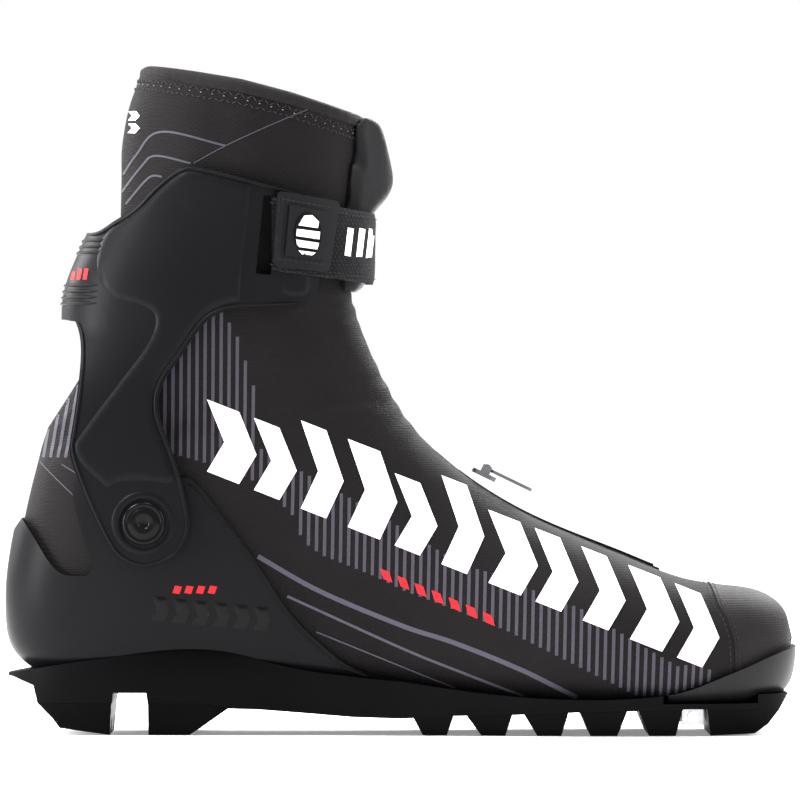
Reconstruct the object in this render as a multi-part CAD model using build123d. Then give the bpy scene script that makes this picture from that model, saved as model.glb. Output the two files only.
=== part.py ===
"""Skating boot for cross country skiing, right foot, about EU 42.

+X is towards the toe, +Y towards the inner (medial) side, +Z up. The tread stands on Z = 0, and the
origin is the middle of the boot's footprint. Millimetres and degrees.
"""

from build123d import *
from math import cos, hypot, pi, radians, sin
import os

# ---------------------------------------------------------------- driving dimensions
PIVOT = (-96.5, 80.0)  # cuff hinge axis, x and z
SHELL_T = 1.6  # softshell fabric
LINER_OUT = 1.8  # depth of the lining's outer face under the softshell
LINER_IN = 5.4  # depth of the lining's inner face
CUP_GAP = 0.4  # between the softshell and the heel cup
CUP_T = 2.5  # heel cup wall
CUFF_T = 2.6  # cuff wall
SOLE_GAP = 0.08  # between the softshell and the sole
RAND_T = 2.4  # rubber rand round the toe
STRAP_T = 2.0  # shin strap webbing
BAR_R = 2.0  # toe bar that the binding grips
BAR_AT = (110.0, 6.8)
HALF_SPAN = 120.0  # half the width of the cutting prisms
RING_POINTS = 12  # steps along each half of a cross-section


# ---------------------------------------------------------------- the foot form
class Station:
    """One cross-section of a form. It lies in the plane through top, bottom and the Y direction.

    wide_lat and wide_med are the half-widths on the outer and inner side, pear moves the widest place
    towards the bottom, and the two powers set how square the bottom and how round the top is.
    lead is how far the whole section moves towards the toe as the form grows by 1.
    """

    def __init__(self, top, bottom, wide_lat, wide_med, pear, power_b, power_t, centre=0.0, lead=0.0):
        self.top, self.bottom = top, bottom
        self.wide_lat, self.wide_med = wide_lat, wide_med
        self.pear, self.power_b, self.power_t = pear, power_b, power_t
        self.centre, self.lead = centre, lead

    def room(self):
        """Half of the section's smaller width."""
        height = hypot(self.top[0] - self.bottom[0], self.top[1] - self.bottom[1])
        return min(height / 2, self.wide_lat, self.wide_med)

    def point(self, angle, grow):
        """The curve's point at an angle of -pi (top) through 0 (bottom) to pi, moved out by grow."""
        length = hypot(self.top[0] - self.bottom[0], self.top[1] - self.bottom[1])
        ux = (self.top[0] - self.bottom[0]) / length
        uz = (self.top[1] - self.bottom[1]) / length
        along, y = self.flat_point(angle, length)
        if abs(angle) < 1e-9:
            along -= grow
        elif abs(angle) > pi - 1e-9:
            along += grow
        else:
            small = 0.3 * min(abs(angle), pi - abs(angle), 0.07)
            a0, y0 = self.flat_point(angle - small, length)
            a1, y1 = self.flat_point(angle + small, length)
            size = hypot(a1 - a0, y1 - y0)
            along -= grow * (y1 - y0) / size
            y += grow * (a1 - a0) / size
        return Vector(
            self.bottom[0] + ux * along + self.lead * grow,
            y + self.centre,
            self.bottom[1] + uz * along,
        )

    def flat_point(self, angle, length):
        """(distance along bottom to top, signed y) at an angle, 0 at the bottom."""
        share = (1 - cos(angle)) / 2
        power = self.power_b + (self.power_t - self.power_b) * share
        wide = self.wide_med if angle > 0 else self.wide_lat
        reach = wide * abs(sin(angle)) ** power * (1 + self.pear * cos(angle))
        return share * length, (reach if angle > 0 else -reach)

    def half(self, turn, grow):
        """Evenly spaced points along one half, bottom to top. turn is -1 for the outer half."""
        fine = 400
        spots = [self.point(turn * pi * (1 - cos(pi * i / fine)) / 2, grow) for i in range(fine + 1)]
        run = [0.0]
        for a, b in zip(spots, spots[1:]):
            run.append(run[-1] + (b - a).length)
        picked = [spots[0]]
        for step in range(1, RING_POINTS):
            goal = run[-1] * step / RING_POINTS
            picked.append(spots[next(i for i, r in enumerate(run) if r >= goal)])
        return picked + [spots[-1]]

    def ring(self, grow):
        """The closed curve, which starts at the bottom. Its parameter is the same on every ring."""
        outer, inner = self.half(-1, grow), self.half(1, grow)
        points = inner[:-1] + outer[:0:-1]
        steps = [float(i) for i in range(len(points) + 1)]
        return Wire([Edge.make_spline(points, periodic=True, parameters=steps)])


def form(stations, grow=0.0):
    """The solid through the stations, grown or shrunk. Sections too small to shrink are left out."""
    return Solid.make_loft([s.ring(grow) for s in stations if s.room() + grow > 2.0])


def across(x, low, high, wide_lat, wide_med, pear, power_b, power_t, centre=0.0, lead=0.0):
    """A section square to the foot."""
    return Station((x, high), (x, low), wide_lat, wide_med, pear, power_b, power_t, centre, lead)


def level(z, back, front, wide, power_back, power_front):
    """A level section of the shaft."""
    return Station((front, z), (back, z), wide, wide, 0.0, power_back, power_front)


# x, bottom, top, half-widths, pear, powers, centre shift, lead
FOOT = [
    across(147.2, 31.0, 41.0, 9.0, 9.0, 0.00, 0.80, 0.80, 5.0, 1.0),
    across(145.4, 22.0, 46.6, 20.5, 20.0, 0.02, 0.66, 0.80, 4.6, 0.95),
    across(141.0, 17.0, 51.0, 29.5, 29.0, 0.03, 0.50, 0.80, 4.2, 0.8),
    across(134.0, 14.4, 54.2, 37.0, 35.5, 0.04, 0.40, 0.82, 3.4, 0.5),
    across(122.0, 12.8, 56.0, 43.0, 41.5, 0.06, 0.34, 0.85, 2.6, 0.2),
    across(105.0, 12.2, 59.2, 47.0, 45.5, 0.07, 0.31, 0.88, 1.6, 0.0),
    across(85.0, 12.0, 67.0, 48.4, 47.0, 0.07, 0.30, 0.92, 0.8, 0.0),
    across(63.0, 12.4, 75.8, 46.6, 45.0, 0.08, 0.30, 0.95, 0.2, 0.0),
    across(42.0, 13.3, 85.9, 42.8, 41.2, 0.08, 0.30, 0.98, 0.0, 0.0),
    across(23.0, 14.4, 98.4, 39.4, 38.4, 0.08, 0.30, 0.98, 0.0, 0.0),
    across(7.0, 15.4, 112.8, 37.2, 36.8, 0.07, 0.30, 0.92, 0.0, 0.0),
    across(-4.0, 16.3, 128.0, 36.2, 36.2, 0.05, 0.30, 0.84, 0.0, 0.0),
    across(-12.0, 17.0, 143.0, 36.0, 36.0, 0.03, 0.29, 0.76, 0.0, 0.0),
    across(-24.0, 17.8, 162.0, 36.0, 36.0, 0.02, 0.28, 0.70, 0.0, 0.0),
    across(-42.0, 19.0, 180.0, 36.6, 36.6, 0.00, 0.27, 0.62, 0.0, 0.0),
    across(-66.0, 20.0, 190.0, 37.6, 37.6, 0.00, 0.27, 0.60, 0.0, 0.0),
    across(-90.0, 20.5, 190.0, 37.8, 37.8, 0.00, 0.28, 0.62, 0.0, 0.0),
    across(-108.0, 20.9, 176.0, 36.4, 36.4, 0.02, 0.32, 0.68, 0.0, 0.0),
    across(-120.0, 21.6, 156.0, 33.4, 33.4, 0.05, 0.37, 0.74, 0.0, 0.0),
    across(-129.0, 23.2, 132.0, 29.4, 29.4, 0.08, 0.44, 0.80, 0.0, -0.1),
    across(-136.0, 26.0, 110.0, 24.4, 24.4, 0.10, 0.52, 0.84, 0.0, -0.4),
    across(-141.8, 30.4, 88.0, 17.8, 17.8, 0.10, 0.62, 0.86, 0.0, -0.75),
    across(-145.8, 36.6, 67.0, 10.4, 10.4, 0.05, 0.75, 0.86, 0.0, -0.95),
    across(-147.2, 43.0, 55.0, 4.4, 4.4, 0.00, 0.85, 0.86, 0.0, -1.0),
]


def slab(x, wide_lat, wide_med, centre=0.0):
    """A section of the sole, drawn in towards the ground."""
    return across(x, -5.0, 44.0, wide_lat, wide_med, -0.06, 0.42, 0.30, centre)


SOLE = [
    slab(149.0, 10.0, 10.0, 5.0),
    slab(146.6, 20.0, 20.0, 4.6),
    slab(142.0, 28.5, 28.0, 4.2),
    slab(134.0, 36.0, 35.0, 3.4),
    slab(122.0, 42.0, 40.0, 2.6),
    slab(105.0, 45.4, 43.6, 1.6),
    slab(85.0, 46.4, 44.8, 0.8),
    slab(63.0, 45.2, 43.2, 0.0),
    slab(42.0, 42.0, 39.6, 0.0),
    slab(20.0, 38.6, 36.0, 0.0),
    slab(-8.0, 35.2, 32.4, 0.0),
    slab(-36.0, 33.6, 31.4, 0.0),
    slab(-66.0, 33.2, 32.2, 0.0),
    slab(-95.0, 33.4, 33.0, 0.0),
    slab(-115.0, 31.2, 31.2, 0.0),
    slab(-130.0, 26.4, 26.4, 0.0),
    slab(-140.0, 20.0, 20.0, 0.0),
    slab(-146.0, 13.0, 13.0, 0.0),
    slab(-149.0, 7.0, 7.0, 0.0),
]

SHAFT = [
    level(100.0, -139.4, 21.0, 36.0, 0.82, 0.62),
    level(112.0, -135.6, 8.0, 36.6, 0.82, 0.60),
    level(126.0, -131.0, -2.6, 37.2, 0.82, 0.60),
    level(142.0, -126.0, -10.8, 38.2, 0.80, 0.64),
    level(160.0, -121.0, -17.6, 39.2, 0.80, 0.70),
    level(178.0, -116.4, -20.4, 40.2, 0.80, 0.76),
    level(198.0, -110.8, -18.6, 40.8, 0.82, 0.82),
    level(220.0, -106.4, -15.8, 41.8, 0.86, 0.86),
    level(242.0, -102.2, -13.0, 42.4, 0.88, 0.88),
    level(264.0, -99.6, -10.6, 42.8, 0.88, 0.88),
]

# the cuff's outer form: height, back, front, half-width, powers
CUFF = [
    level(36.0, -172.0, -8.0, 45.8, 0.42, 0.42),
    level(60.0, -170.0, -8.0, 45.8, 0.42, 0.42),
    level(85.0, -166.0, -9.0, 45.8, 0.42, 0.42),
    level(108.0, -158.0, -10.5, 45.7, 0.44, 0.46),
    level(128.0, -146.0, -12.0, 45.5, 0.52, 0.52),
    level(144.0, -134.0, -13.0, 45.3, 0.60, 0.60),
    level(154.0, -129.4, -13.2, 45.4, 0.66, 0.66),
    level(163.0, -129.0, -13.0, 45.5, 0.70, 0.70),
    level(172.0, -127.0, -12.7, 45.6, 0.72, 0.72),
    level(181.0, -123.4, -12.5, 45.6, 0.74, 0.74),
    level(190.0, -119.4, -12.3, 45.6, 0.76, 0.76),
    level(204.0, -114.5, -12.0, 45.8, 0.80, 0.80),
    level(222.0, -109.0, -10.0, 46.0, 0.84, 0.84),
]


# ---------------------------------------------------------------- small helpers
def prism(*lines, low=-HALF_SPAN, high=HALF_SPAN):
    """A solid between y = low and y = high whose side view is the closed outline of these edges."""
    face = Face(Wire(list(lines)))
    slab = Solid.extrude(face, Vector(0, high - low, 0))
    return slab.moved(Location((0, low, 0)))


def side(x, z):
    return Vector(x, 0, z)


def outline(points):
    """Straight edges through side-view points, closed."""
    corners = [side(*p) for p in points]
    return [Edge.make_line(a, b) for a, b in zip(corners, corners[1:] + corners[:1])]


def curve(points):
    """One smooth edge through side-view points."""
    return Edge.make_spline([side(*p) for p in points])


def closed_by(points, *corners):
    """A smooth edge through points, closed by straight edges through the corners."""
    loop = [side(*points[-1])] + [side(*c) for c in corners] + [side(*points[0])]
    return [curve(points)] + [Edge.make_line(a, b) for a, b in zip(loop, loop[1:])]


def rod(radius, centre, y_low, y_high):
    """A cylinder along Y at a side-view centre."""
    base = Plane(origin=(centre[0], y_low, centre[1]), x_dir=(1, 0, 0), z_dir=(0, 1, 0))
    return Solid.make_cylinder(radius, y_high - y_low, base)


def block(x0, x1, y0, y1, z0, z1):
    return Solid.make_box(x1 - x0, y1 - y0, z1 - z0, Plane(origin=(x0, y0, z0)))


def keep_big(shape, least=1.0):
    """Drops slivers under a volume that a cut leaves."""
    return [s for s in shape.solids() if s.volume > least]


def skin(outer, inner, keep=(), drop=()):
    """The wall between an outer and an inner form, cut to the spaces to keep and to drop."""
    wall = outer
    for space in keep:
        wall = wall & space
    for space in drop:
        wall = wall - space
    return keep_big(wall - inner)


NODES = {}


def store(name, *shapes):
    solids = []
    for shape in shapes:
        solids += shape.solids() if not isinstance(shape, list) else shape
    NODES[name] = solids


# ---------------------------------------------------------------- profiles in the side view
RIM = [(-106.0, 254.6), (-101.0, 253.6), (-78.0, 249.8), (-60.0, 246.6), (-42.0, 241.9), (-24.0, 236.2)]
RIM += [(-5.0, 230.6)]
SEAM = [
    (-153.0, 22.6),
    (-147.0, 23.5),
    (-130.0, 26.5),
    (-110.0, 29.5),
    (-85.0, 32.5),
    (-65.0, 31.5),
    (-45.0, 26.5),
    (-20.0, 22.5),
    (0.0, 20.5),
]
TOE_RIM = [(0.0, 20.5), (20.0, 17.5), (45.0, 14.8), (62.0, 14.0), (80.0, 14.0), (100.0, 15.5)]
RAND_TOP = [(100.0, 15.5), (110.0, 18.0), (120.0, 22.0), (130.0, 26.0), (140.0, 30.2), (154.0, 34.0)]
INSOLE = [(-150.0, 46.0), (-146.3, 34.5), (-138.0, 25.2), (-122.0, 21.0), (-82.0, 20.4), (-42.0, 19.0)]
INSOLE += [(-12.0, 17.0), (13.0, 15.0), (38.0, 13.4), (63.0, 12.4), (86.0, 12.0), (106.0, 12.2)]
INSOLE += [(123.0, 12.8), (134.5, 14.4), (141.6, 17.0), (145.6, 22.0), (150.0, 34.0)]


def lifted(points, rise):
    return [(x, z + rise) for x, z in points]


def band(points, low, high):
    """The space between two copies of a side-view curve, one low and one high above it."""
    lower = [side(*p) for p in lifted(points, low)]
    upper = [side(*p) for p in lifted(points, high)]
    return prism(
        Edge.make_spline(lower),
        Edge.make_line(lower[-1], upper[-1]),
        Edge.make_spline(upper[::-1]),
        Edge.make_line(upper[0], lower[0]),
    )


def under(points, drop=100.0):
    """The space under a side-view curve."""
    (x0, z0), (x1, z1) = points[0], points[-1]
    return prism(*closed_by(points, (x1, z1 - drop), (x0, z0 - drop)))


def over(points, rise=200.0):
    """The space over a side-view curve."""
    (x0, z0), (x1, z1) = points[0], points[-1]
    return prism(*closed_by(points, (x1, z1 + rise), (x0, z0 + rise)))


def plan_ring(points, z):
    """A closed smooth plan outline at a height."""
    return Wire([Edge.make_spline([Vector(x, y, z) for x, y in points], periodic=True)])


def plan_points(extra):
    """The sole's outline seen from below, let out by extra."""
    outer = [(-128, -24), (-110, -31), (-88, -33), (-60, -31), (-30, -29.5), (0, -31.5), (30, -36.5)]
    outer += [(60, -40.5), (84, -41.5), (106, -37.5), (124, -28), (134, -15)]
    inner = [(137.5, 4), (134, 20), (124, 31), (106, 38.5), (84, 40.5), (60, 38), (30, 32.5), (0, 28.5)]
    inner += [(-30, 27.5), (-60, 29.5), (-88, 32), (-110, 30.5), (-128, 24), (-137, 0)]
    middle = (-10.0, 2.0)
    points = []
    for x, y in outer + inner:
        dx, dy = x - middle[0], 3.0 * (y - middle[1])
        size = hypot(dx, dy)
        points.append((x + extra * dx / size, y + extra * dy / size))
    return points


def plan_prism(extra, low, high):
    return Solid.extrude(Face(plan_ring(plan_points(extra), low)), Vector(0, 0, high - low))


# ---------------------------------------------------------------- where the fabric is divided
# the upper ends under ANKLE_LOW, the collar sleeve starts over ANKLE_HIGH, the flex zone is between them
ANKLE_LOW = [(-150.0, 104.0), (-96.0, 111.0), (-50.0, 119.0), (-4.0, 125.5), (30.0, 129.0), (60.0, 132.0)]
ANKLE_LOW += [(110.0, 136.0), (170.0, 140.0)]
ANKLE_HIGH = [(-150.0, 113.0), (-131.0, 118.0), (-96.0, 128.0), (-60.0, 141.0), (-13.0, 153.0)]
ANKLE_HIGH += [(30.0, 163.0)]
flex_gap = 0.4
below_ankle = under(ANKLE_LOW, 300)
above_ankle = over(ANKLE_HIGH)
ankle_zone = over(lifted(ANKLE_LOW, flex_gap)) & under(lifted(ANKLE_HIGH, -flex_gap))
below_hem = under(lifted(RIM, -5.0), 300)
below_rim = under(RIM, 300)

# ---------------------------------------------------------------- softshell and lining
foot_out = form(FOOT, 0.0)
foot_in = form(FOOT, -SHELL_T)
shaft_out = form(SHAFT, 0.0)
shaft_in = form(SHAFT, -SHELL_T)

foot_lined = form(FOOT, -LINER_IN)
shaft_lined = form(SHAFT, -LINER_IN)
foot_line_out = form(FOOT, -LINER_OUT)

toe_edge = [(119.0, 49.0), (122.2, 44.0), (124.6, 36.0), (125.2, 22.0), (124.0, 4.0)]
toe_seam = prism(*closed_by([(115.5, 64.0)] + toe_edge, (170, 4), (170, 64)))
toe_open = prism(*closed_by([(115.3, 64.0)] + [(x - 0.2, z) for x, z in toe_edge], (170, 4), (170, 64)))
store("softshell_upper", skin(foot_out, foot_in, keep=[below_ankle], drop=[toe_open]))
store("toe_cap_panel", skin(foot_out, foot_in, keep=[toe_seam]))
store("collar_sleeve", skin(shaft_out, shaft_in, keep=[above_ankle, below_hem]))
store("collar_lining", skin(form(SHAFT, -LINER_OUT), shaft_lined, keep=[above_ankle, below_hem]))
store("ankle_flex", skin(shaft_out, shaft_lined, keep=[ankle_zone]))
hem_zone = over(lifted(RIM, -4.95)) & below_rim
store("collar_hem", skin(form(SHAFT, 0.35), form(SHAFT, -5.9), keep=[hem_zone]))

# the stiffeners lie in pockets in the lining, against the softshell
counter_edge = [(-160.0, 88.0), (-136.0, 84.0), (-112.0, 66.0), (-92.0, 46.0), (-82.0, 20.0), (-80.0, 5.0)]
counter_zone = prism(*closed_by(counter_edge, (-160, 5)))
counter_pocket = prism(*closed_by(lifted(counter_edge, 0.6), (-78, 5), (-160, 5)))
puff_zone = prism(*outline([(103, 0), (160, 0), (160, 80), (108, 80)]))
puff_pocket = prism(*outline([(102.5, 0), (160, 0), (160, 80), (107.5, 80)]))
stiff_out = form(FOOT, -1.7)
stiff_in = form(FOOT, -2.7)
above_board = over(lifted(INSOLE, 3.9))
store("heel_counter", skin(stiff_out, stiff_in, keep=[counter_zone, above_board]))
store("toe_puff", skin(stiff_out, stiff_in, keep=[puff_zone, above_board]))
pockets = (form(FOOT, -1.0) - form(FOOT, -3.2)) & below_ankle
pocket_cuts = [pockets & counter_pocket, pockets & puff_pocket]

# the foot's lining, with the opening for the laces on the instep
lace_slot = prism(*outline([(26, 60), (84, 40), (84, 90), (26, 120)]), low=-14.0, high=14.0)
lining_cuts = [lace_slot] + pocket_cuts
store("foot_lining", skin(foot_line_out, foot_lined, keep=[below_ankle, above_board], drop=lining_cuts))
board_zone = band(INSOLE, 1.8, 3.7)
store("insole_board", [foot_line_out & board_zone])
store("footbed", [form(FOOT, -5.6) & band(INSOLE, 5.6, 9.4)])

# ---------------------------------------------------------------- laces and the foot's tongue
foot_tongue_zone = prism(*outline([(14, 60), (92, 40), (92, 90), (14, 130)]), low=-24.0, high=24.0)
store("foot_tongue", skin(form(FOOT, -6.3), form(FOOT, -8.8), keep=[foot_tongue_zone]))


def tube(radius, points):
    """A round cord through points."""
    path = Wire([Edge.make_line(Vector(*a), Vector(*b)) for a, b in zip(points, points[1:])])
    start = Vector(*points[0])
    plane = Plane(origin=start, z_dir=(Vector(*points[1]) - start).normalized())
    return Solid.sweep(Wire([Edge.make_circle(radius, plane)]), path=path, transition=Transition.ROUND)


lace_rows = [(78.0, 65.2), (66.0, 70.1), (54.0, 75.3), (42.0, 81.4), (32.0, 87.4)]
lace_path = []
for n, (x, z) in enumerate(lace_rows):
    reach = 9.0 if n % 2 else -9.0
    lace_path.append((x, reach, z - 0.4))
    lace_path.append((x, -reach, z - 0.4))
store("lace", [tube(1.0, lace_path)])

# ---------------------------------------------------------------- heel cup
pivot_face = 42.2  # the flat pivot bosses on the cup, as a distance from the middle
boss_r = 13.0
rivet_r = 3.0
cup_front = [(-80.0, 97.0), (-76.0, 94.0), (-72.0, 89.0), (-60.0, 73.0), (-50.0, 58.0), (-38.0, 41.5)]
cup_front += [(-30.0, 34.0), (-22.0, 27.5), (-12.0, 23.0), (0.0, 20.5)]
cup_window = [(-143.6, 81.6), (-141.0, 78.0), (-137.0, 72.0), (-132.0, 64.5), (-128.0, 61.0), (-122.0, 60.0)]
cup_window += [(-118.0, 60.5), (-116.5, 63.0), (-118.0, 70.0), (-121.0, 80.0), (-123.5, 90.0)]
cup_window += [(-123.5, 93.5), (-121.5, 97.5)]
cup_side = prism(
    curve(cup_front),
    *[Edge.make_spline([side(*p) for p in SEAM[::-1]])],
    Edge.make_line(side(*SEAM[0]), side(-160.0, 60.0)),
    Edge.make_line(side(-160.0, 60.0), side(-143.6, 81.6)),
    curve(cup_window),
    Edge.make_line(side(-121.5, 97.5), side(-80.0, 97.0)),
)
cup_inner = form(FOOT, CUP_GAP)
cup = skin(form(FOOT, CUP_GAP + CUP_T), cup_inner, keep=[cup_side])[0]
for low, high in ((36.0, pivot_face), (-pivot_face, -36.0)):
    cup = cup + (rod(boss_r, PIVOT, low, high) - cup_inner)
cup = cup - rod(rivet_r, PIVOT, -HALF_SPAN, HALF_SPAN)
store("heel_cup", [cup])

# ---------------------------------------------------------------- sole
sole_form = form(SOLE)
sole_cut = form(FOOT, SOLE_GAP)
sole_heel = [(-153.0, 22.5)] + lifted(SEAM, -0.15)[1:]
sole_toe = [(98.0, 12.2), (134.0, 12.2), (134.0, 9.8)]
frame_under = [(134.0, 9.8), (106.0, 9.8), (85.0, 9.5), (65.0, 9.0), (42.0, 8.0), (20.0, 7.5), (0.0, 6.4)]
frame_under += [(-18.0, 6.9), (-36.0, 8.4), (-54.0, 9.8), (-65.3, 10.1), (-74.0, 12.0), (-95.5, 12.0)]
frame_under += [(-96.0, 16.0), (-108.5, 16.0), (-109.0, 12.0), (-137.5, 12.0), (-139.0, 18.5)]
frame_under += [(-147.0, 21.6), (-153.0, 22.5)]
frame_rim = lifted(TOE_RIM[1:-1], -0.15) + [(98.0, 15.3)]
frame_side = prism(
    curve(sole_heel),
    curve([sole_heel[-1]] + frame_rim),
    *[Edge.make_line(side(*a), side(*b)) for a, b in zip([frame_rim[-1]] + sole_toe, sole_toe)],
    *[Edge.make_line(side(*a), side(*b)) for a, b in zip(frame_under, frame_under[1:])],
)
frame = (sole_form & frame_side) - sole_cut
plate_zone = plan_prism(-10.0, 0.0, 40.0) & block(-58.0, 126.0, -60.0, 60.0, 0.0, 40.0)
plate_cut = plan_prism(-9.9, 0.0, 40.0) & block(-58.1, 126.1, -60.0, 60.0, 0.0, 40.0)
pad_zone = plan_prism(-12.0, 0.0, 40.0) & block(-126.0, -68.0, -60.0, 60.0, 0.0, 40.0)
pad_cut = plan_prism(-11.9, 0.0, 40.0) & block(-126.1, -67.9, -60.0, 60.0, 0.0, 40.0)
frame = frame - (plate_cut & band(INSOLE, -1.8, 3.0)) - (pad_cut & band(INSOLE, -3.0, 3.0))
groove = [block(-150.0, 104.0, y - 3.6, y + 3.6, -5.0, 6.0) for y in (-12.0, 12.0)]
bar_room = block(105.5, 114.5, -60.0, 60.0, 3.0, 10.2)
for hollow in groove + [bar_room]:
    frame = frame - hollow
store("sole_frame", keep_big(frame))
store("midsole_plate", keep_big((plate_zone & band(INSOLE, -1.7, 2.0)) - sole_cut))
store("heel_pad", keep_big((pad_zone & band(INSOLE, -2.9, 2.0)) - sole_cut))


def tread(points, grooved=True):
    """A rubber block whose side view is the outline, as wide as the sole."""
    body = sole_form & prism(*outline(points))
    for hollow in groove if grooved else []:
        body = body - hollow
    return body


lugs = []
for low0, low1, high0, high1, top0, top1 in (
    (8.0, 17.0, 4.5, 19.5, 6.6, 7.4),
    (30.0, 39.0, 24.5, 41.5, 7.55, 7.9),
    (51.0, 60.0, 46.0, 62.5, 8.1, 8.8),
    (71.0, 81.0, 67.0, 84.5, 8.95, 9.4),
    (93.0, 103.0, 89.0, 105.2, 9.45, 9.7),
):
    lugs.append(tread([(low0, 0.0), (low1, 0.0), (high1, top1), (high0, top0)]))
store("forefoot_lugs", lugs)
store("heel_tread_rear", [tread([(-129, 2.5), (-110, 0), (-109.2, 11.9), (-137.4, 11.9), (-131.7, 6.2)])])
heel_front = [(-95.4, 0), (-80, 0), (-76.4, 2.3), (-65.6, 9.9), (-73.9, 11.9), (-95.4, 11.9)]
store("heel_tread_front", [tread(heel_front)])
toe_tread_side = [(116.2, 0.0), (133.0, 0.6), (138.0, 4.0), (142.5, 9.5), (146.0, 15.6), (134.1, 15.6)]
toe_tread_side += [(134.1, 9.7), (114.7, 9.7)]
store("toe_tread", keep_big((tread(toe_tread_side, grooved=False)) - form(FOOT, 0.15)))
rand_low = prism(*outline([(98.1, 12.3), (133.9, 12.3), (133.9, 15.8), (170, 15.8), (170, 60), (103.9, 60)]))
plate_room = plate_cut & band(INSOLE, -1.8, 2.1)
rand = skin(form(FOOT, RAND_T), sole_cut, keep=[under(RAND_TOP) & rand_low], drop=[plate_room])
store("toe_rand", rand)

# the toe bar and the two metal brackets that hold it
bar_span = 18.0
bracket = (13.0, 17.0)
store("toe_bar", [rod(BAR_R, BAR_AT, -bar_span, bar_span)])
brackets = []
for low, high in ((bracket[0], bracket[1]), (-bracket[1], -bracket[0])):
    plate = prism(*outline([(106.0, 3.4), (114.0, 3.4), (114.0, 10.15), (106.0, 10.15)]), low=low, high=high)
    brackets.append(plate - rod(BAR_R, BAR_AT, -60.0, 60.0))
store("toe_bar_brackets", brackets)

# ---------------------------------------------------------------- cuff and its pivots
cuff_top = [(-119.6, 189.6), (-114.0, 190.0), (-109.0, 193.0), (-100.0, 198.5), (-93.0, 206.0), (-87.0, 211.0)]
cuff_top += [(-82.0, 213.5), (-78.0, 213.8), (-65.0, 211.0), (-50.0, 207.0), (-40.0, 204.5), (-31.6, 201.0)]
cuff_low = [(-38.0, 161.5), (-50.0, 160.9), (-60.0, 160.5), (-66.0, 159.5), (-72.0, 156.5), (-77.0, 151.0)]
cuff_low += [(-83.0, 142.0), (-88.0, 135.0), (-90.5, 129.0), (-91.0, 124.0), (-90.0, 118.0), (-86.0, 107.0)]
cuff_low += [(-83.0, 98.0), (-80.5, 88.0), (-79.3, 80.0), (-80.2, 74.0), (-85.0, 67.0), (-93.0, 63.6)]
cuff_low += [(-100.0, 63.8), (-106.0, 67.0), (-110.0, 72.0), (-116.0, 84.0), (-121.0, 96.0), (-124.4, 107.0)]
cuff_low += [(-123.6, 115.0), (-122.0, 126.0), (-120.6, 140.0), (-121.0, 150.0), (-123.0, 156.0)]
cuff_side = prism(
    curve(cuff_top),
    curve([(-31.6, 201.0), (-31.0, 185.0), (-31.2, 170.0), (-33.2, 164.6), (-38.0, 161.5)]),
    curve(cuff_low),
    Edge.make_line(side(-123.0, 156.0), side(-136.0, 157.6)),
    Edge.make_line(side(-136.0, 157.6), side(-136.0, 189.4)),
    Edge.make_line(side(-136.0, 189.4), side(-119.6, 189.6)),
)
strap_slot = prism(
    *outline([(-54.6, 173.6), (-49.0, 173.0), (-46.6, 202.4), (-51.6, 202.8)]),
)
cuff = skin(form(CUFF), form(CUFF, -CUFF_T), keep=[cuff_side], drop=[strap_slot])[0]
washer = (42.32, 43.14)
cuff = cuff - rod(9.5, PIVOT, -43.2, 43.2) - rod(rivet_r + 0.05, PIVOT, -HALF_SPAN, HALF_SPAN)
store("cuff_shell", [cuff])

rivets, caps, washers = [], [], []
cap_face = 46.0
for turn in (-1, 1):
    rivets.append(rod(rivet_r, PIVOT, *sorted((turn * 38.6, turn * cap_face))))
    cap = rod(8.0, PIVOT, *sorted((turn * cap_face, turn * (cap_face + 1.9))))
    rim = [e for e in cap.edges().filter_by(GeomType.CIRCLE) if abs(e.center().Y) > cap_face + 1]
    caps.append(cap.fillet(0.9, rim))
    ring = rod(8.0, PIVOT, *sorted((turn * washer[0], turn * washer[1])))
    washers.append(ring - rod(rivet_r + 0.05, PIVOT, -HALF_SPAN, HALF_SPAN))
store("pivot_rivets", rivets)
store("pivot_caps", caps)
store("pivot_washers", washers)

# ---------------------------------------------------------------- strap across the shin
strap_side = outline([(-52.4, 174.8), (4.0, 168.4), (4.0, 195.6), (-48.6, 203.0)])
strap_room = outline([(-60.0, 174.4), (8.0, 167.4), (8.0, 196.4), (-60.0, 205.4)])
strap_in = form(CUFF, 0.3)
strap_out = form(CUFF, 0.3 + STRAP_T)
store("strap", skin(strap_out, strap_in, keep=[prism(*strap_side)]))
tail_edge = [(-50.6, 175.4), (-23.0, 172.2), (-20.0, 176.0), (-20.6, 194.4), (-24.0, 198.4), (-47.6, 201.8)]
tail_side = prism(*outline(tail_edge), low=5.0)
pad_side = prism(*outline([(-44.0, 177.4), (-26.0, 175.6), (-26.0, 195.6), (-44.0, 198.2)]), low=5.0)
store("strap_tail", skin(form(CUFF, 5.0), form(CUFF, 3.2), keep=[tail_side]))
store("strap_hook_pad", skin(form(CUFF, 3.15), form(CUFF, 2.4), keep=[pad_side]))
patch_side = prism(
    curve([(-48.2, 178.6), (-47.4, 176.8), (-45.6, 176.0)]),
    Edge.make_line(side(-45.6, 176.0), side(-28.9, 174.2)),
    curve([(-28.9, 174.2), (-27.4, 174.8), (-26.7, 176.6)]),
    Edge.make_line(side(-26.7, 176.6), side(-23.2, 198.4)),
    curve([(-23.2, 198.4), (-23.4, 200.1), (-24.8, 201.0)]),
    Edge.make_line(side(-24.8, 201.0), side(-44.4, 204.2)),
    curve([(-44.4, 204.2), (-46.0, 203.9), (-46.6, 202.2)]),
    Edge.make_line(side(-46.6, 202.2), side(-48.2, 178.6)),
    high=-5.0,
)
raised_side = prism(*outline([(-43.6, 180.2), (-29.2, 178.6), (-26.2, 196.4), (-41.8, 199.4)]), high=-5.0)
patch_base = skin(form(CUFF, 4.0), form(CUFF, 2.35), keep=[patch_side])[0]
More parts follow.
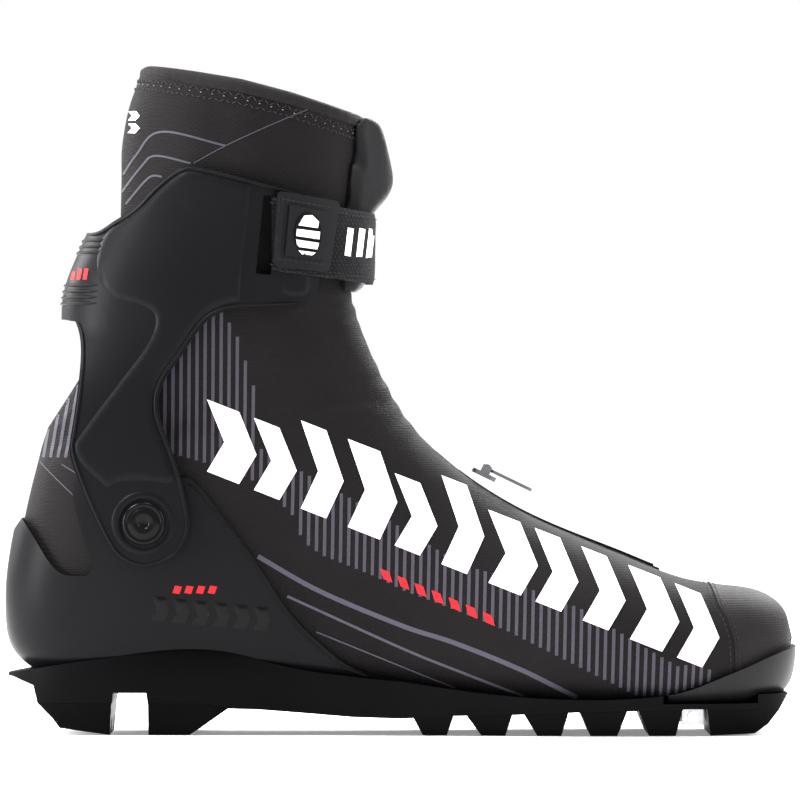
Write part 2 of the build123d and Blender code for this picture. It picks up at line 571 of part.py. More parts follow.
patch_pad = skin(form(CUFF, 5.0), form(CUFF, 3.0), keep=[raised_side])[0]
store("strap_patch", [patch_base + patch_pad])
badge = Edge.make_ellipse(5.0, 8.0, Plane(origin=(-35.0, -5.0, 188.4), x_dir=(1, 0, 0), z_dir=(0, -1, 0)))
badge_zone = Solid.extrude(Face(Wire([badge])), Vector(0, -100, 0))
store("patch_badge", skin(form(CUFF, 5.5), form(CUFF, 5.05), keep=[badge_zone]))

# ---------------------------------------------------------------- the collar's padded tongue
tongue_front = [(-13.2, 174.0), (-13.0, 186.0), (-12.2, 197.0), (-8.0, 201.6), (-4.9, 206.0), (-4.2, 210.5)]
tongue_front += [(-5.1, 217.0), (-6.6, 224.5), (-8.4, 230.6), (-11.6, 233.4)]
tongue_side = prism(*closed_by(tongue_front, (-26.0, 235.0), (-32.0, 166.0), (-18.0, 166.0)))
oval = Edge.make_ellipse(36.0, 24.0, Plane(origin=(-40.0, 0.0, 150.0)))
tongue_plan = Solid.extrude(Face(Wire([oval])), Vector(0, 0, 100))
strap_space = prism(*strap_room) - form(CUFF, 0.1)
tongue = ((tongue_side & tongue_plan) - form(SHAFT, 0.5)) - strap_space
store("shin_tongue", keep_big(tongue, 20.0))

# ---------------------------------------------------------------- zip on the instep
zip_y = 10.0
tape_room = block(22.0, 98.0, zip_y - 7.0, zip_y + 7.0, 40.0, 130.0)
teeth_room = block(24.0, 96.0, zip_y - 1.5, zip_y + 1.5, 40.0, 130.0)
store("zip_tape", skin(form(FOOT, 0.7), form(FOOT, 0.1), keep=[tape_room]))
store("zip_teeth", skin(form(FOOT, 1.6), form(FOOT, 0.75), keep=[teeth_room]))
ZIP_FALL = 25.8  # slope of the slider's path
zip_along = Vector(cos(radians(ZIP_FALL)), 0, -sin(radians(ZIP_FALL)))
zip_up = Vector(sin(radians(ZIP_FALL)), 0, cos(radians(ZIP_FALL)))
SLIDER_AT = Vector(31.0, zip_y, 97.0)


def on_slider(along, width, high0, high1, radius=0.0):
    """A block on the slider: a range along the zip, a width, and a range of heights."""
    origin = SLIDER_AT + zip_along * along[0] - Vector(0, width / 2, 0) + zip_up * high0
    body = Solid.make_box(along[1] - along[0], width, high1 - high0, Plane(origin, x_dir=zip_along, z_dir=zip_up))
    if radius:
        body = body.fillet(radius, body.edges().filter_by(lambda e: abs((e % 0.5).dot(zip_up)) > 0.9))
    return body


def slider_rod(radius, along, high, half_width):
    centre = SLIDER_AT + zip_along * along + zip_up * high
    return rod(radius, (centre.X, centre.Z), zip_y - half_width, zip_y + half_width)


slider = on_slider((-5.0, 5.0), 8.0, 0.0, 1.7, radius=2.0)
for shift in (-3.2, 3.2):
    ear = on_slider((-1.8, 1.8), 1.2, 1.6, 4.6)
    slider = slider + ear.moved(Location((0, shift, 0)))
slider = slider + slider_rod(0.8, 0.0, 3.4, 3.6)
store("zip_slider", [slider])
pull = on_slider((1.4, 19.0), 4.6, 2.8, 4.0, radius=1.4)
pull = pull + slider_rod(1.7, 0.0, 3.4, 2.3) - slider_rod(0.86, 0.0, 3.4, 4.0)
store("zip_pull", [pull])

# ---------------------------------------------------------------- files
os.makedirs("parts", exist_ok=True)
for name, solids in NODES.items():
    shape = solids[0] if len(solids) == 1 else Compound(children=solids)
    export_step(shape, f"parts/{name}.step")
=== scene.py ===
import bpy
import math
import numpy as np
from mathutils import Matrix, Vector, noise
from mathutils.bvhtree import BVHTree
from mathutils.geometry import delaunay_2d_cdt


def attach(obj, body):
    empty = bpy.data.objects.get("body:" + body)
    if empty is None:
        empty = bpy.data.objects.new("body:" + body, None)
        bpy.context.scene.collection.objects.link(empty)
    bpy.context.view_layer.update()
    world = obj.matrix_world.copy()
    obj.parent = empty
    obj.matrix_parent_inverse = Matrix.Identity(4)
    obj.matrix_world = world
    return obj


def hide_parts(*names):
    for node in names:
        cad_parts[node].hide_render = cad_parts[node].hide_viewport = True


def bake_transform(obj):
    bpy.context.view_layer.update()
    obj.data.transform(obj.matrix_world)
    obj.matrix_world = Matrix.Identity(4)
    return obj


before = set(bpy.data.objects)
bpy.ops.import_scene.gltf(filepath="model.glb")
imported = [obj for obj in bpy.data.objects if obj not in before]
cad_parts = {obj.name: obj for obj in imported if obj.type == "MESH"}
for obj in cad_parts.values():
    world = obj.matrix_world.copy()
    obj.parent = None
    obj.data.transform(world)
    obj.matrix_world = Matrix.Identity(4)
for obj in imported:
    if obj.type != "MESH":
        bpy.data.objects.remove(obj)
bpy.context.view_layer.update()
MM = 0.001
LATERAL, MEDIAL = -1, 1
BAND = 2 * math.pi / 20.0 / MM  # wave texture scale that gives bands 1 mm apart
SIDES = {"lateral": LATERAL, "medial": MEDIAL}


# ---------------------------------------------------------------- materials
class Maker:
    """A material's node tree, with one short call for each kind of node."""

    def __init__(self, name):
        self.mat = bpy.data.materials.new(name)
        self.mat.use_nodes = True
        self.tree = self.mat.node_tree
        self.shader = self.tree.nodes["Principled BSDF"]
        self.coords = self.node("ShaderNodeTexCoord")

    def node(self, kind, **values):
        n = self.tree.nodes.new(kind)
        for key, value in values.items():
            setattr(n, key, value)
        return n

    def link(self, a, b):
        self.tree.links.new(a, b)

    def noise(self, scale, detail=3.0, rough=0.5, where="Object", stretch=None):
        n = self.node("ShaderNodeTexNoise")
        n.inputs["Scale"].default_value = scale
        n.inputs["Detail"].default_value = detail
        n.inputs["Roughness"].default_value = rough
        source = self.coords.outputs[where]
        if stretch:
            m = self.node("ShaderNodeMapping")
            m.inputs["Scale"].default_value = stretch
            self.link(source, m.inputs["Vector"])
            source = m.outputs["Vector"]
        self.link(source, n.inputs["Vector"])
        return n.outputs["Fac"]

    def wave(self, scale, direction, where="Object", distortion=0.0):
        n = self.node("ShaderNodeTexWave", bands_direction=direction)
        n.inputs["Scale"].default_value = scale
        n.inputs["Distortion"].default_value = distortion
        self.link(self.coords.outputs[where], n.inputs["Vector"])
        return n.outputs["Fac"]

    def math(self, op, a, b):
        n = self.node("ShaderNodeMath", operation=op)
        for i, v in enumerate((a, b)):
            if isinstance(v, (int, float)):
                n.inputs[i].default_value = v
            else:
                self.link(v, n.inputs[i])
        return n.outputs[0]

    def ramp(self, value, low, high, at=(0.3, 0.7)):
        n = self.node("ShaderNodeValToRGB")
        n.color_ramp.elements[0].position = at[0]
        n.color_ramp.elements[1].position = at[1]
        n.color_ramp.elements[0].color = (*low, 1.0)
        n.color_ramp.elements[1].color = (*high, 1.0)
        self.link(value, n.inputs["Fac"])
        return n.outputs["Color"]

    def set_inputs(self, values):
        for key, value in values.items():
            self.shader.inputs[key].default_value = value

    def colour(self, socket):
        self.link(socket, self.shader.inputs["Base Color"])

    def rough(self, value, low, high):
        n = self.node("ShaderNodeMapRange")
        n.inputs["To Min"].default_value = low
        n.inputs["To Max"].default_value = high
        self.link(value, n.inputs["Value"])
        self.link(n.outputs["Result"], self.shader.inputs["Roughness"])

    def bump(self, *layers):
        """Layers of (height socket, distance in mm)."""
        normal = None
        for height, distance in layers:
            n = self.node("ShaderNodeBump")
            n.inputs["Distance"].default_value = distance * MM
            n.inputs["Strength"].default_value = 1.0
            self.link(height, n.inputs["Height"])
            if normal is not None:
                self.link(normal, n.inputs["Normal"])
            normal = n.outputs["Normal"]
        self.link(normal, self.shader.inputs["Normal"])


def cloth(name, low, high, rough=(0.6, 0.8), sheen=0.35, pitch=0.9, depth=0.10, fuzz=0.0, nap=0.05):
    """Woven or knitted cloth: two crossing thread waves, a soft nap and sheen."""
    m = Maker(name)
    warp = m.wave(BAND / pitch, "DIAGONAL")
    weft = m.wave(BAND / pitch, "Z")
    weave = m.math("MULTIPLY", warp, weft)
    broad = m.noise(26.0, 4.0)
    fine = m.noise(1400.0, 2.0)
    m.colour(
        m.ramp(m.math("ADD", m.math("MULTIPLY", broad, 0.7), m.math("MULTIPLY", weave, 0.3)), low, high)
    )
    m.rough(fine, *rough)
    layers = [(weave, depth), (fine, nap), (m.noise(60.0, 3.0), 0.12)]
    if fuzz:
        layers.append((m.noise(900.0, 5.0, 0.7), fuzz))
    m.bump(*layers)
    m.set_inputs({"Sheen Weight": sheen * 0.12, "Specular IOR Level": 0.09})
    m.set_inputs({"Sheen Roughness": 0.4, "Sheen Tint": (0.8, 0.78, 0.85, 1.0)})
    return m.mat


def plastic(name, low, high, rough=(0.38, 0.5), grain=0.03, grain_scale=1100.0, spec=0.08, scuff=0.25):
    """Moulded plastic: spark-eroded grain, faint flow variation and scuffed patches."""
    m = Maker(name)
    broad = m.noise(14.0, 4.0)
    wear = m.noise(120.0, 6.0, 0.65)
    m.colour(m.ramp(broad, low, high))
    m.rough(m.math("ADD", m.math("MULTIPLY", broad, 1.0 - scuff), m.math("MULTIPLY", wear, scuff)), *rough)
    m.bump((m.noise(grain_scale, 3.0), grain), (m.noise(30.0, 2.0), 0.05))
    m.set_inputs({"Specular IOR Level": spec})
    return m.mat


def metal(name, colour, rough=(0.22, 0.4), stretch=(1, 30, 1)):
    """Brushed metal."""
    m = Maker(name)
    brushed = m.noise(260.0, 3.0, 0.6, stretch=stretch)
    m.colour(m.ramp(brushed, [c * 0.8 for c in colour], colour))
    m.rough(brushed, *rough)
    m.bump((brushed, 0.02))
    m.set_inputs({"Metallic": 1.0})
    return m.mat


def printed(name, colour, rough=(0.5, 0.62), pitch=0.9):
    """Ink on cloth: the weave shows through, and it is worn thin in spots."""
    m = Maker(name)
    wear = m.noise(500.0, 4.0, 0.6)
    m.colour(m.ramp(wear, [c * 0.86 for c in colour], colour, at=(0.25, 0.5)))
    m.rough(wear, *rough)
    weave = m.math("MULTIPLY", m.wave(BAND / pitch, "DIAGONAL"), m.wave(BAND / pitch, "Z"))
    m.bump((weave, 0.03), (wear, 0.02))
    m.set_inputs({"Specular IOR Level": 0.15})
    return m.mat


SOFTSHELL = cloth("softshell_cloth", (0.0027, 0.0021, 0.0024), (0.0052, 0.0041, 0.0046), sheen=0.10)
TOE_CLOTH = cloth(
    "toe_panel_cloth", (0.0055, 0.0044, 0.0048), (0.0095, 0.0078, 0.0086), sheen=0.2, rough=(0.5, 0.7)
)
SEAM_CLOTH = cloth(
    "bound_edge_cloth", (0.006, 0.005, 0.0055), (0.010, 0.009, 0.0095), sheen=0.12, pitch=0.5
)
LINING = cloth(
    "brushed_lining", (0.008, 0.008, 0.009), (0.012, 0.012, 0.0132), rough=(0.8, 0.9), sheen=0.1, pitch=1.6,
    depth=0.02, nap=0.01,
)
TONGUE_CLOTH = cloth(
    "tongue_cloth", (0.0055, 0.0055, 0.0062), (0.010, 0.010, 0.011), rough=(0.42, 0.55), sheen=0.2,
    depth=0.03,
)
WEBBING = cloth(
    "loop_webbing", (0.0025, 0.0025, 0.0029), (0.010, 0.010, 0.011), rough=(0.8, 0.95), sheen=0.5,
    pitch=1.4, depth=0.25, fuzz=0.5,
)
THREAD = cloth("thread", (0.02, 0.019, 0.021), (0.05, 0.048, 0.052), pitch=0.4, sheen=0.2)
THREAD_LIGHT = cloth("light_thread", (0.16, 0.15, 0.15), (0.30, 0.28, 0.27), pitch=0.4, sheen=0.2)
STRIPE = printed("stripe_ink", (0.036, 0.031, 0.043))
LINE_INK = printed("line_ink", (0.044, 0.039, 0.055))
WHITE_INK = printed("white_ink", (0.90, 0.90, 0.92))
RED_INK = printed("red_ink", (0.36, 0.008, 0.012))
CUFF_PLASTIC = plastic(
    "cuff_plastic", (0.0018, 0.0018, 0.0024), (0.0034, 0.0034, 0.0043), rough=(0.34, 0.46), spec=0.062
)
CUP_PLASTIC = plastic(
    "heel_cup_plastic", (0.0016, 0.0016, 0.0021), (0.0031, 0.0031, 0.0038), rough=(0.32, 0.44), spec=0.062
)
EMBOSS = plastic("embossed_plastic", (0.0012, 0.0012, 0.0015), (0.003, 0.003, 0.0034), rough=(0.22, 0.3))
SOLE_PLASTIC = plastic(
    "sole_plastic", (0.0010, 0.0010, 0.0012), (0.0020, 0.0020, 0.0023), rough=(0.36, 0.5), spec=0.022
)
TREAD = plastic(
    "tread_rubber", (0.0008, 0.0008, 0.0009), (0.002, 0.002, 0.0022), rough=(0.28, 0.5), grain=0.05,
    scuff=0.6, spec=0.018,
)
RAND = plastic(
    "rand_rubber", (0.0035, 0.0035, 0.0038), (0.006, 0.006, 0.0066), rough=(0.35, 0.48), spec=0.1
)
PATCH = plastic(
    "patch_rubber", (0.0034, 0.0034, 0.004), (0.006, 0.006, 0.007), rough=(0.42, 0.55), grain=0.06
)
CAP = plastic(
    "cap_plastic", (0.0012, 0.0012, 0.0014), (0.0025, 0.0025, 0.003), rough=(0.15, 0.28), grain=0.005,
    spec=0.08,
)
STEEL = metal("brushed_steel", (0.62, 0.62, 0.64))
DARK_METAL = metal("dark_zip_metal", (0.12, 0.12, 0.13), rough=(0.3, 0.45))
BOARD = cloth("fibre_board", (0.12, 0.11, 0.09), (0.2, 0.18, 0.15), pitch=2.0)
WASHER = plastic("bush_plastic", (0.5, 0.5, 0.48), (0.6, 0.6, 0.58))

CAD_LOOKS = {
    CUFF_PLASTIC: ("cuff_shell",),
    CUP_PLASTIC: ("heel_cup",),
    SOLE_PLASTIC: ("sole_frame", "midsole_plate"),
    TREAD: ("forefoot_lugs", "heel_tread_rear", "heel_tread_front", "toe_tread"),
    RAND: ("toe_rand", "heel_pad"),
    CAP: ("pivot_caps", "patch_badge", "zip_teeth"),
    STEEL: ("pivot_rivets", "toe_bar", "toe_bar_brackets"),
    WASHER: ("pivot_washers",),
    BOARD: ("heel_counter", "toe_puff", "insole_board"),
    LINING: ("footbed", "foot_tongue", "foot_lining", "collar_lining"),
    THREAD: ("lace",),
    DARK_METAL: ("zip_slider", "zip_pull"),
    PATCH: ("strap_patch",),
    WEBBING: ("strap_hook_pad", "strap", "strap_tail"),
    SEAM_CLOTH: ("zip_tape", "collar_hem"),
    TONGUE_CLOTH: ("shin_tongue",),
}
for look, names in CAD_LOOKS.items():
    for name in names:
        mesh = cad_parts[name].data
        mesh.materials.clear()
        mesh.materials.append(look)


# ---------------------------------------------------------------- helpers
def tree_of(*objects):
    """One search tree over several objects' meshes, in the row frame."""
    points, faces = [], []
    for o in objects:
        base = len(points)
        world = o.matrix_world
        points += [world @ v.co for v in o.data.vertices]
        faces += [[base + i for i in p.vertices] for p in o.data.polygons]
    return BVHTree.FromPolygons(points, faces)


def make(name, points, faces, material, smooth=True):
    """A mesh object from points in metres."""
    mesh = bpy.data.meshes.new(name)
    mesh.from_pydata([tuple(p) for p in points], [], [tuple(f) for f in faces])
    mesh.materials.append(material)
    mesh.update()
    if smooth:
        mesh.polygons.foreach_set("use_smooth", [True] * len(mesh.polygons))
    obj = bpy.data.objects.new(name, mesh)
    bpy.context.scene.collection.objects.link(obj)
    return obj


def smooth_path(knots, count):
    """Points along a smooth curve through the knots, evenly spread over them."""
    knots = np.array(knots, float)
    steps = np.linspace(0, len(knots) - 1, count)
    ends = np.vstack([2 * knots[0] - knots[1], knots, 2 * knots[-1] - knots[-2]])
    out = []
    for s in steps:
        i = min(int(s), len(knots) - 2)
        t = s - i
        a, b, c, d = ends[i], ends[i + 1], ends[i + 2], ends[i + 3]
        out.append(
            0.5 * (
                2 * b + (c - a) * t + (2 * a - 5 * b + 4 * c - d) * t**2 + (3 * b - a - 3 * c + d) * t**3
            )
        )
    return np.array(out)


# ---------------------------------------------------------------- the cloth body
# pairs of side-view points, top or front and bottom or back, from the toe to the collar
FAN = [
    ((146.9, 41.0), (146.9, 31.0)),
    ((145.6, 46.6), (145.6, 22.0)),
    ((141.6, 50.8), (141.6, 17.0)),
    ((134.5, 54.2), (134.5, 14.4)),
    ((123.0, 55.9), (123.0, 12.8)),
    ((106.0, 58.9), (106.0, 12.2)),
    ((86.0, 66.6), (86.0, 12.0)),
    ((64.0, 75.4), (63.0, 12.4)),
    ((42.0, 85.8), (38.0, 13.4)),
    ((22.0, 99.0), (13.0, 15.0)),
    ((7.0, 113.0), (-12.0, 17.0)),
    ((-4.0, 128.0), (-42.0, 19.0)),
    ((-11.6, 144.0), (-82.0, 20.4)),
    ((-16.2, 156.5), (-120.0, 21.5)),
    ((-19.0, 166.0), (-143.0, 31.5)),
    ((-20.0, 176.0), (-146.6, 58.0)),
    ((-19.6, 186.0), (-141.8, 88.0)),
    ((-18.2, 198.0), (-133.0, 120.0)),
    ((-16.6, 209.0), (-122.8, 152.0)),
    ((-15.2, 220.0), (-112.5, 190.0)),
    ((-13.6, 226.5), (-106.0, 224.0)),
    ((-12.4, 233.0), (-102.0, 251.5)),
]
RINGS, ROUND = 240, 176
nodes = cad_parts
skin_tree = tree_of(
    *[nodes[n] for n in ("softshell_upper", "toe_cap_panel", "ankle_flex", "collar_sleeve", "collar_hem")]
)
tops = smooth_path([f[0] for f in FAN], RINGS)
bottoms = smooth_path([f[1] for f in FAN], RINGS)
angles = np.linspace(-math.pi, math.pi, ROUND, endpoint=False)


def cast_grid(tree):
    """Outermost hit of each ray, as rings of points in metres."""
    grid = np.full((RINGS, ROUND, 3), np.nan)
    reach = np.full((RINGS, ROUND), np.nan)
    for i in range(RINGS):
        top = Vector((tops[i][0], 0, tops[i][1])) * MM
        low = Vector((bottoms[i][0], 0, bottoms[i][1])) * MM
        middle = (top + low) / 2
        shift = 0.004 * max(0.0, (middle.x - 0.09) / 0.055)
        middle.y += shift
        half = (top - low) / 2
        wide = Vector((0, 0.040, 0))
        for j, a in enumerate(angles):
            ray = -half * math.cos(a) + wide * math.sin(a)
            start = middle + ray * 2.6
            hit = tree.ray_cast(start, -ray.normalized(), ray.length * 2.6)
            if hit[0] is not None:
                grid[i, j] = hit[0]
                reach[i, j] = (hit[0] - middle).length
    return grid, reach


def heal(grid, reach):
    """Fills misses and hits that fell through a gap, from their neighbours along and round."""
    ways = ((0, 1), (0, -1), (1, 1), (1, -1), (0, 2), (0, -2))

    def beside(a, axis, step):
        return np.roll(a, step, 1) if axis == 0 else np.concatenate(
            [a[:1], a[:-1]] if step > 0 else [a[1:], a[-1:]]
        )

    near = np.nanmedian(np.stack([beside(reach, *w) for w in ways]), axis=0)
    bad = np.isnan(reach) | (reach < near * 0.975)
    grid[bad] = np.nan
    for _ in range(60):
        bad = np.isnan(grid[:, :, 0])
        if not bad.any():
            break
        mean = np.nanmean(np.stack([beside(grid, *w) for w in ways]), axis=0)
        grid[bad] = mean[bad]
    return grid


def relax(grid, rounds, amount=0.5):
    """Evens the grid out along its length and round its rings."""
    for _ in range(rounds):
        mean = (np.roll(grid, 1, 1) + np.roll(grid, -1, 1)) / 2
        along = grid.copy()
        along[1:-1] = (grid[2:] + grid[:-2]) / 2
        grid = grid * (1 - amount) + (mean + along) / 2 * amount
    return grid


raw, reach = cast_grid(skin_tree)
body = relax(heal(raw, reach), 2)


def fabric_relief(p):
    """How far the cloth stands off its form, in metres: slow waves, and creases where the ankle bends."""
    x, z = p[0] * 1000, p[2] * 1000
    slow = 0.22 * noise.noise(Vector(p) * 26.0) + 0.12 * noise.noise(Vector(p) * 70.0)
    front = math.exp(-(((x - 2) / 16) ** 2)) * math.exp(-(((z - 130) / 16) ** 2))
    crease = 0.55 * front * math.sin((z - 0.55 * x) * 0.62 + 1.4 * noise.noise(Vector(p) * 45.0))
    under_strap = math.exp(-(((x + 14) / 9) ** 2)) * math.exp(-(((z - 163) / 6) ** 2))
    crease += 0.5 * under_strap * math.sin(z * 0.95)
    collar = max(0.0, min(1.0, (z - 205) / 12))
    crease += 0.28 * collar * math.sin(x * 0.23 + z * 0.12 + 3 * noise.noise(Vector(p) * 18.0))
    return (slow + crease) * MM


centre_line = body.mean(1)
flat = []
for i in range(RINGS):
    for j in range(ROUND):
        out = Vector(body[i, j] - centre_line[i]).normalized()
        flat.append(Vector(body[i, j]) + out * fabric_relief(body[i, j]))
faces = []
for i in range(RINGS - 1):
    for j in range(ROUND):
        k = (j + 1) % ROUND
        faces.append((i * ROUND + j, i * ROUND + k, (i + 1) * ROUND + k, (i + 1) * ROUND + j))
toe_tip = Vector(centre_line[0]) + Vector((0.0018, 0, 0))
flat.append(toe_tip)
for j in range(ROUND):
    faces.append((len(flat) - 1, (j + 1) % ROUND, j))
fabric = make("softshell_cloth", flat, faces, SOFTSHELL)
fabric.data.materials.append(TOE_CLOTH)
TOE_SEAM = [(115.3, 60.0), (119.0, 49.0), (122.2, 44.0), (124.6, 36.0), (125.2, 22.0), (124.0, 4.0)]


def curve_x(points, z):
    """x of a side-view curve at a height."""
    zs = [p[1] for p in points][::-1]
    xs = [p[0] for p in points][::-1]
    return float(np.interp(z, zs, xs))


for p in fabric.data.polygons:
    if p.center.x * 1000 > curve_x(TOE_SEAM, p.center.z * 1000):
        p.material_index = 1
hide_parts("softshell_upper", "toe_cap_panel", "ankle_flex", "collar_sleeve")
cloth_tree = tree_of(fabric)
cup_tree = tree_of(nodes["heel_cup"])
cuff_tree = tree_of(nodes["cuff_shell"])


def drop(tree, x, z, side, lift=0.14):
    """The point of a surface seen at x, z (mm) from one side, lifted off it, or None."""
    start = Vector((x * MM, side * 0.2, z * MM))
    hit = tree.ray_cast(start, Vector((0, -side, 0)), 0.2)
    if hit[0] is None:
        return None
    normal = hit[1] if hit[1].y * side > 0 else -hit[1]
    return hit[0] + normal * lift * MM


def on_cloth(obj):
    """Bakes the piece's placement into its mesh."""
    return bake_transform(obj)


def ribbons(name, lines, width, material, tree, side, lift=0.14, step=1.6):
    """Thin flat strips along side-view lines (mm), laid on a surface."""
    points, quads = [], []
    for line in lines:
        length = sum(math.dist(a, b) for a, b in zip(line, line[1:]))
        count = max(3, int(length / step) + 1)
        path = smooth_path(line, count)
        tangent = np.gradient(path, axis=0)
        tangent /= np.linalg.norm(tangent, axis=1)[:, None]
        row = []
        for (x, z), (tx, tz) in zip(path, tangent):
            pair = []
            for turn in (-1, 0, 1):
                pair.append(drop(tree, x - tz * turn * width / 2, z + tx * turn * width / 2, side, lift))
            row.append(pair)
        for a, b in zip(row, row[1:]):
            if any(p is None for p in a + b):
                continue
            if max((p - q).length for p, q in zip(a, b)) > 4 * step * MM:
                continue
            base = len(points)
            points += a + b
            quads += [(base, base + 1, base + 4, base + 3), (base + 1, base + 2, base + 5, base + 4)]
    return make(name, points, quads, material)


def inside(poly, x, z):
    """Whether a point lies within a polygon."""
    odd = False
    for (x0, z0), (x1, z1) in zip(poly, poly[1:] + poly[:1]):
        if (z0 > z) != (z1 > z) and x < (x1 - x0) * (z - z0) / (z1 - z0) + x0:
            odd = not odd
    return odd


def edge_gap(poly, x, z):
    """Distance of a point from a polygon's border."""
    best = 1e9
    for (x0, z0), (x1, z1) in zip(poly, poly[1:] + poly[:1]):
        dx, dz = x1 - x0, z1 - z0
        t = max(0.0, min(1.0, ((x - x0) * dx + (z - z0) * dz) / (dx * dx + dz * dz + 1e-12)))
        best = min(best, math.hypot(x - x0 - t * dx, z - z0 - t * dz))
    return best


def panel(name, polys, material, tree, side, lift=0.14, raised=0.0, bevel=1.2, grid=2.0):
    """Filled side-view shapes (mm) laid on a surface; raised makes a pad with a rounded border."""
    points, tris = [], []
    for poly in polys:
        rim = []
        for a, b in zip(poly, poly[1:] + poly[:1]):
            n = max(1, int(math.dist(a, b) / grid))
            rim += [(a[0] + (b[0] - a[0]) * i / n, a[1] + (b[1] - a[1]) * i / n) for i in range(n)]
        xs, zs = [p[0] for p in poly], [p[1] for p in poly]
        inner = []
        for gx in np.arange(min(xs), max(xs), grid):
            for gz in np.arange(min(zs), max(zs), grid):
                if inside(poly, gx, gz) and edge_gap(poly, gx, gz) > grid * 0.45:
                    inner.append((gx, gz))
        flat_points = [Vector(p) for p in rim + inner]
        loop = list(range(len(rim)))
        verts, _, cells, *_ = delaunay_2d_cdt(flat_points, [], [loop], 1, 1e-5)
        base = len(points)
        found = []
        for v in verts:
            height = lift
            if raised:
                t = min(1.0, edge_gap(poly, v.x, v.y) / bevel)
                height += raised * math.sqrt(max(0.0, 1 - (1 - t) ** 2))
            found.append(drop(tree, v.x, v.y, side, height))
        points += [p if p is not None else Vector((0, 0, 0)) for p in found]
        for cell in cells:
            if all(found[i] is not None for i in cell):
                spread = [found[i] for i in cell]
                if max((spread[i] - spread[i - 1]).length for i in range(len(spread))) < grid * 6 * MM:
                    tris.append([base + i for i in cell])
    return make(name, points, tris, material)


def bead(name, paths, radius, material, closed=False, sides=8):
    """Round beads along 3-D paths of points in metres."""
    points, quads = [], []
    for path in paths:
        path = [Vector(p) for p in path]
        count = len(path)
        base = len(points)
        for i, p in enumerate(path):
            before = path[i - 1] if (i or closed) else path[0]
            after = path[(i + 1) % count] if (i < count - 1 or closed) else path[-1]
            along = (after - before).normalized()
            out = Vector((p.x + 0.05, p.y, 0)).normalized()
            u = along.cross(out).normalized()
            w = along.cross(u).normalized()
            taper = 1.0 if closed else min(1.0, 0.35 + 0.65 * min(i, count - 1 - i) / 2)
            for s in range(sides):
                a = 2 * math.pi * s / sides
                points.append(p + (u * math.cos(a) + w * math.sin(a)) * radius * taper * MM)
        for i in range(count if closed else count - 1):
            for s in range(sides):
                a0, a1 = base + i * sides + s, base + i * sides + (s + 1) % sides
                b0 = base + ((i + 1) % count) * sides + s
                b1 = base + ((i + 1) % count) * sides + (s + 1) % sides
                quads.append((a0, a1, b1, b0))
    return make(name, points, quads, material)


def traced(tree, line, side, lift, step=1.5):
    """3-D points on a surface along a side-view line (mm)."""
    length = sum(math.dist(a, b) for a, b in zip(line, line[1:]))
    path = smooth_path(line, max(3, int(length / step) + 1))
    return [p for p in (drop(tree, x, z, side, lift) for x, z in path) if p is not None]


def spaced(path, pitch):
    """Points every pitch (mm) along a 3-D path, with its direction there."""
    out, carry = [], 0.0
    for a, b in zip(path, path[1:]):
        length = (b - a).length * 1000
        if length < 1e-6:
            continue
        at = carry
        while at < length:
            out.append((a.lerp(b, at / length), (b - a).normalized()))
            at += pitch
        carry = at - length
    return out


def stitches(name, paths, pitch, length, radius, material, zigzag=0.0):
    """Rows of single thread stitches along 3-D paths."""
    short = []
    for path in paths:
        for n, (p, along) in enumerate(spaced(path, pitch)):
            out = Vector((p.x + 0.05, p.y, 0)).normalized()
            across = along.cross(out).normalized()
            lean = across * zigzag * (1 if n % 2 else -1)
            tip = (along * length + lean) * 0.5 * MM
            short.append([p - tip, p + out * radius * 0.5 * MM, p + tip])
    return bead(name, short, radius, material, sides=5)


# ---------------------------------------------------------------- printed stripes and lines
LOW_EDGE = [
    (-86, 105), (-75, 102), (-60, 97), (-50, 92), (-41, 83), (-37, 73), (-30, 68), (-10, 60), (0, 55),
    (20, 47.5),
]
LOW_EDGE += [(40, 39.5), (60, 29.5), (75, 22), (88, 15.5), (100, 15), (118, 21.5)]
HIGH_EDGE = [
    (-86, 128), (-70, 118), (-50, 106), (-30, 95), (-10, 84), (13, 70), (25, 63.5), (35, 61), (58, 51)
]
HIGH_EDGE += [(66, 48.5), (90, 34), (104, 26), (110, 29), (118, 23)]


def at(points, x):
    """Height of a side-view line at x."""
    return float(np.interp(x, [p[0] for p in points], [p[1] for p in points]))


STRIPE_PITCH = 3.0
STRIPE_WIDTH = 1.25
stripe_lines = []
for x in np.arange(-89.0, -54.0, STRIPE_PITCH):
    top = 159.0 if x < -66 else float(np.interp(x, [-66, -62, -57, -54], [157, 150, 135, 125]))
    low = at(LOW_EDGE, max(x, -86)) + 1.0
    if top - low > 4:
        stripe_lines.append([(x, low), (x + 0.2, (low + top) / 2), (x + 0.4, top)])
for x in np.arange(-53.0, 117.0, STRIPE_PITCH):
    low, high = at(LOW_EDGE, x), at(HIGH_EDGE, x)
    if high - low > 2.5:
        stripe_lines.append([(x, low), (x + 0.2, (low + high) / 2), (x + 0.4, high)])
sweeps_a = [[(-54, 67.5), (-31, 54.5), (0, 41.5), (20, 35), (45, 25), (66, 14.5)]]
sweeps_b = [[(-43, 52.5), (0, 33), (25, 23), (47, 14.5)]]
sweeps_c = [[(-32, 39), (0, 26), (20, 18)]]
collar_lines = [
    [(-108, 207), (-100, 218.5), (-90.5, 227), (-66, 221.5)],
    [(-107, 203), (-98, 214), (-92.5, 218), (-79, 215)],
    [(-104, 200), (-97, 208), (-93.5, 210.5), (-90, 210)],
]
collar_fine = [[(-78, 215), (-66, 221.5), (-48, 229.8), (-30, 237.5)]]
heel_seams = [[(-137, 103), (-130, 96.5), (-123, 90)], [(-128, 102), (-122, 98.5)]]
rear_lines = []
for shift in np.arange(5) * STRIPE_PITCH:
    rear_lines.append([(-135.5 + shift, 104.5), (-132.0 + shift, 126.0), (-127.0 + shift, 153.5)])


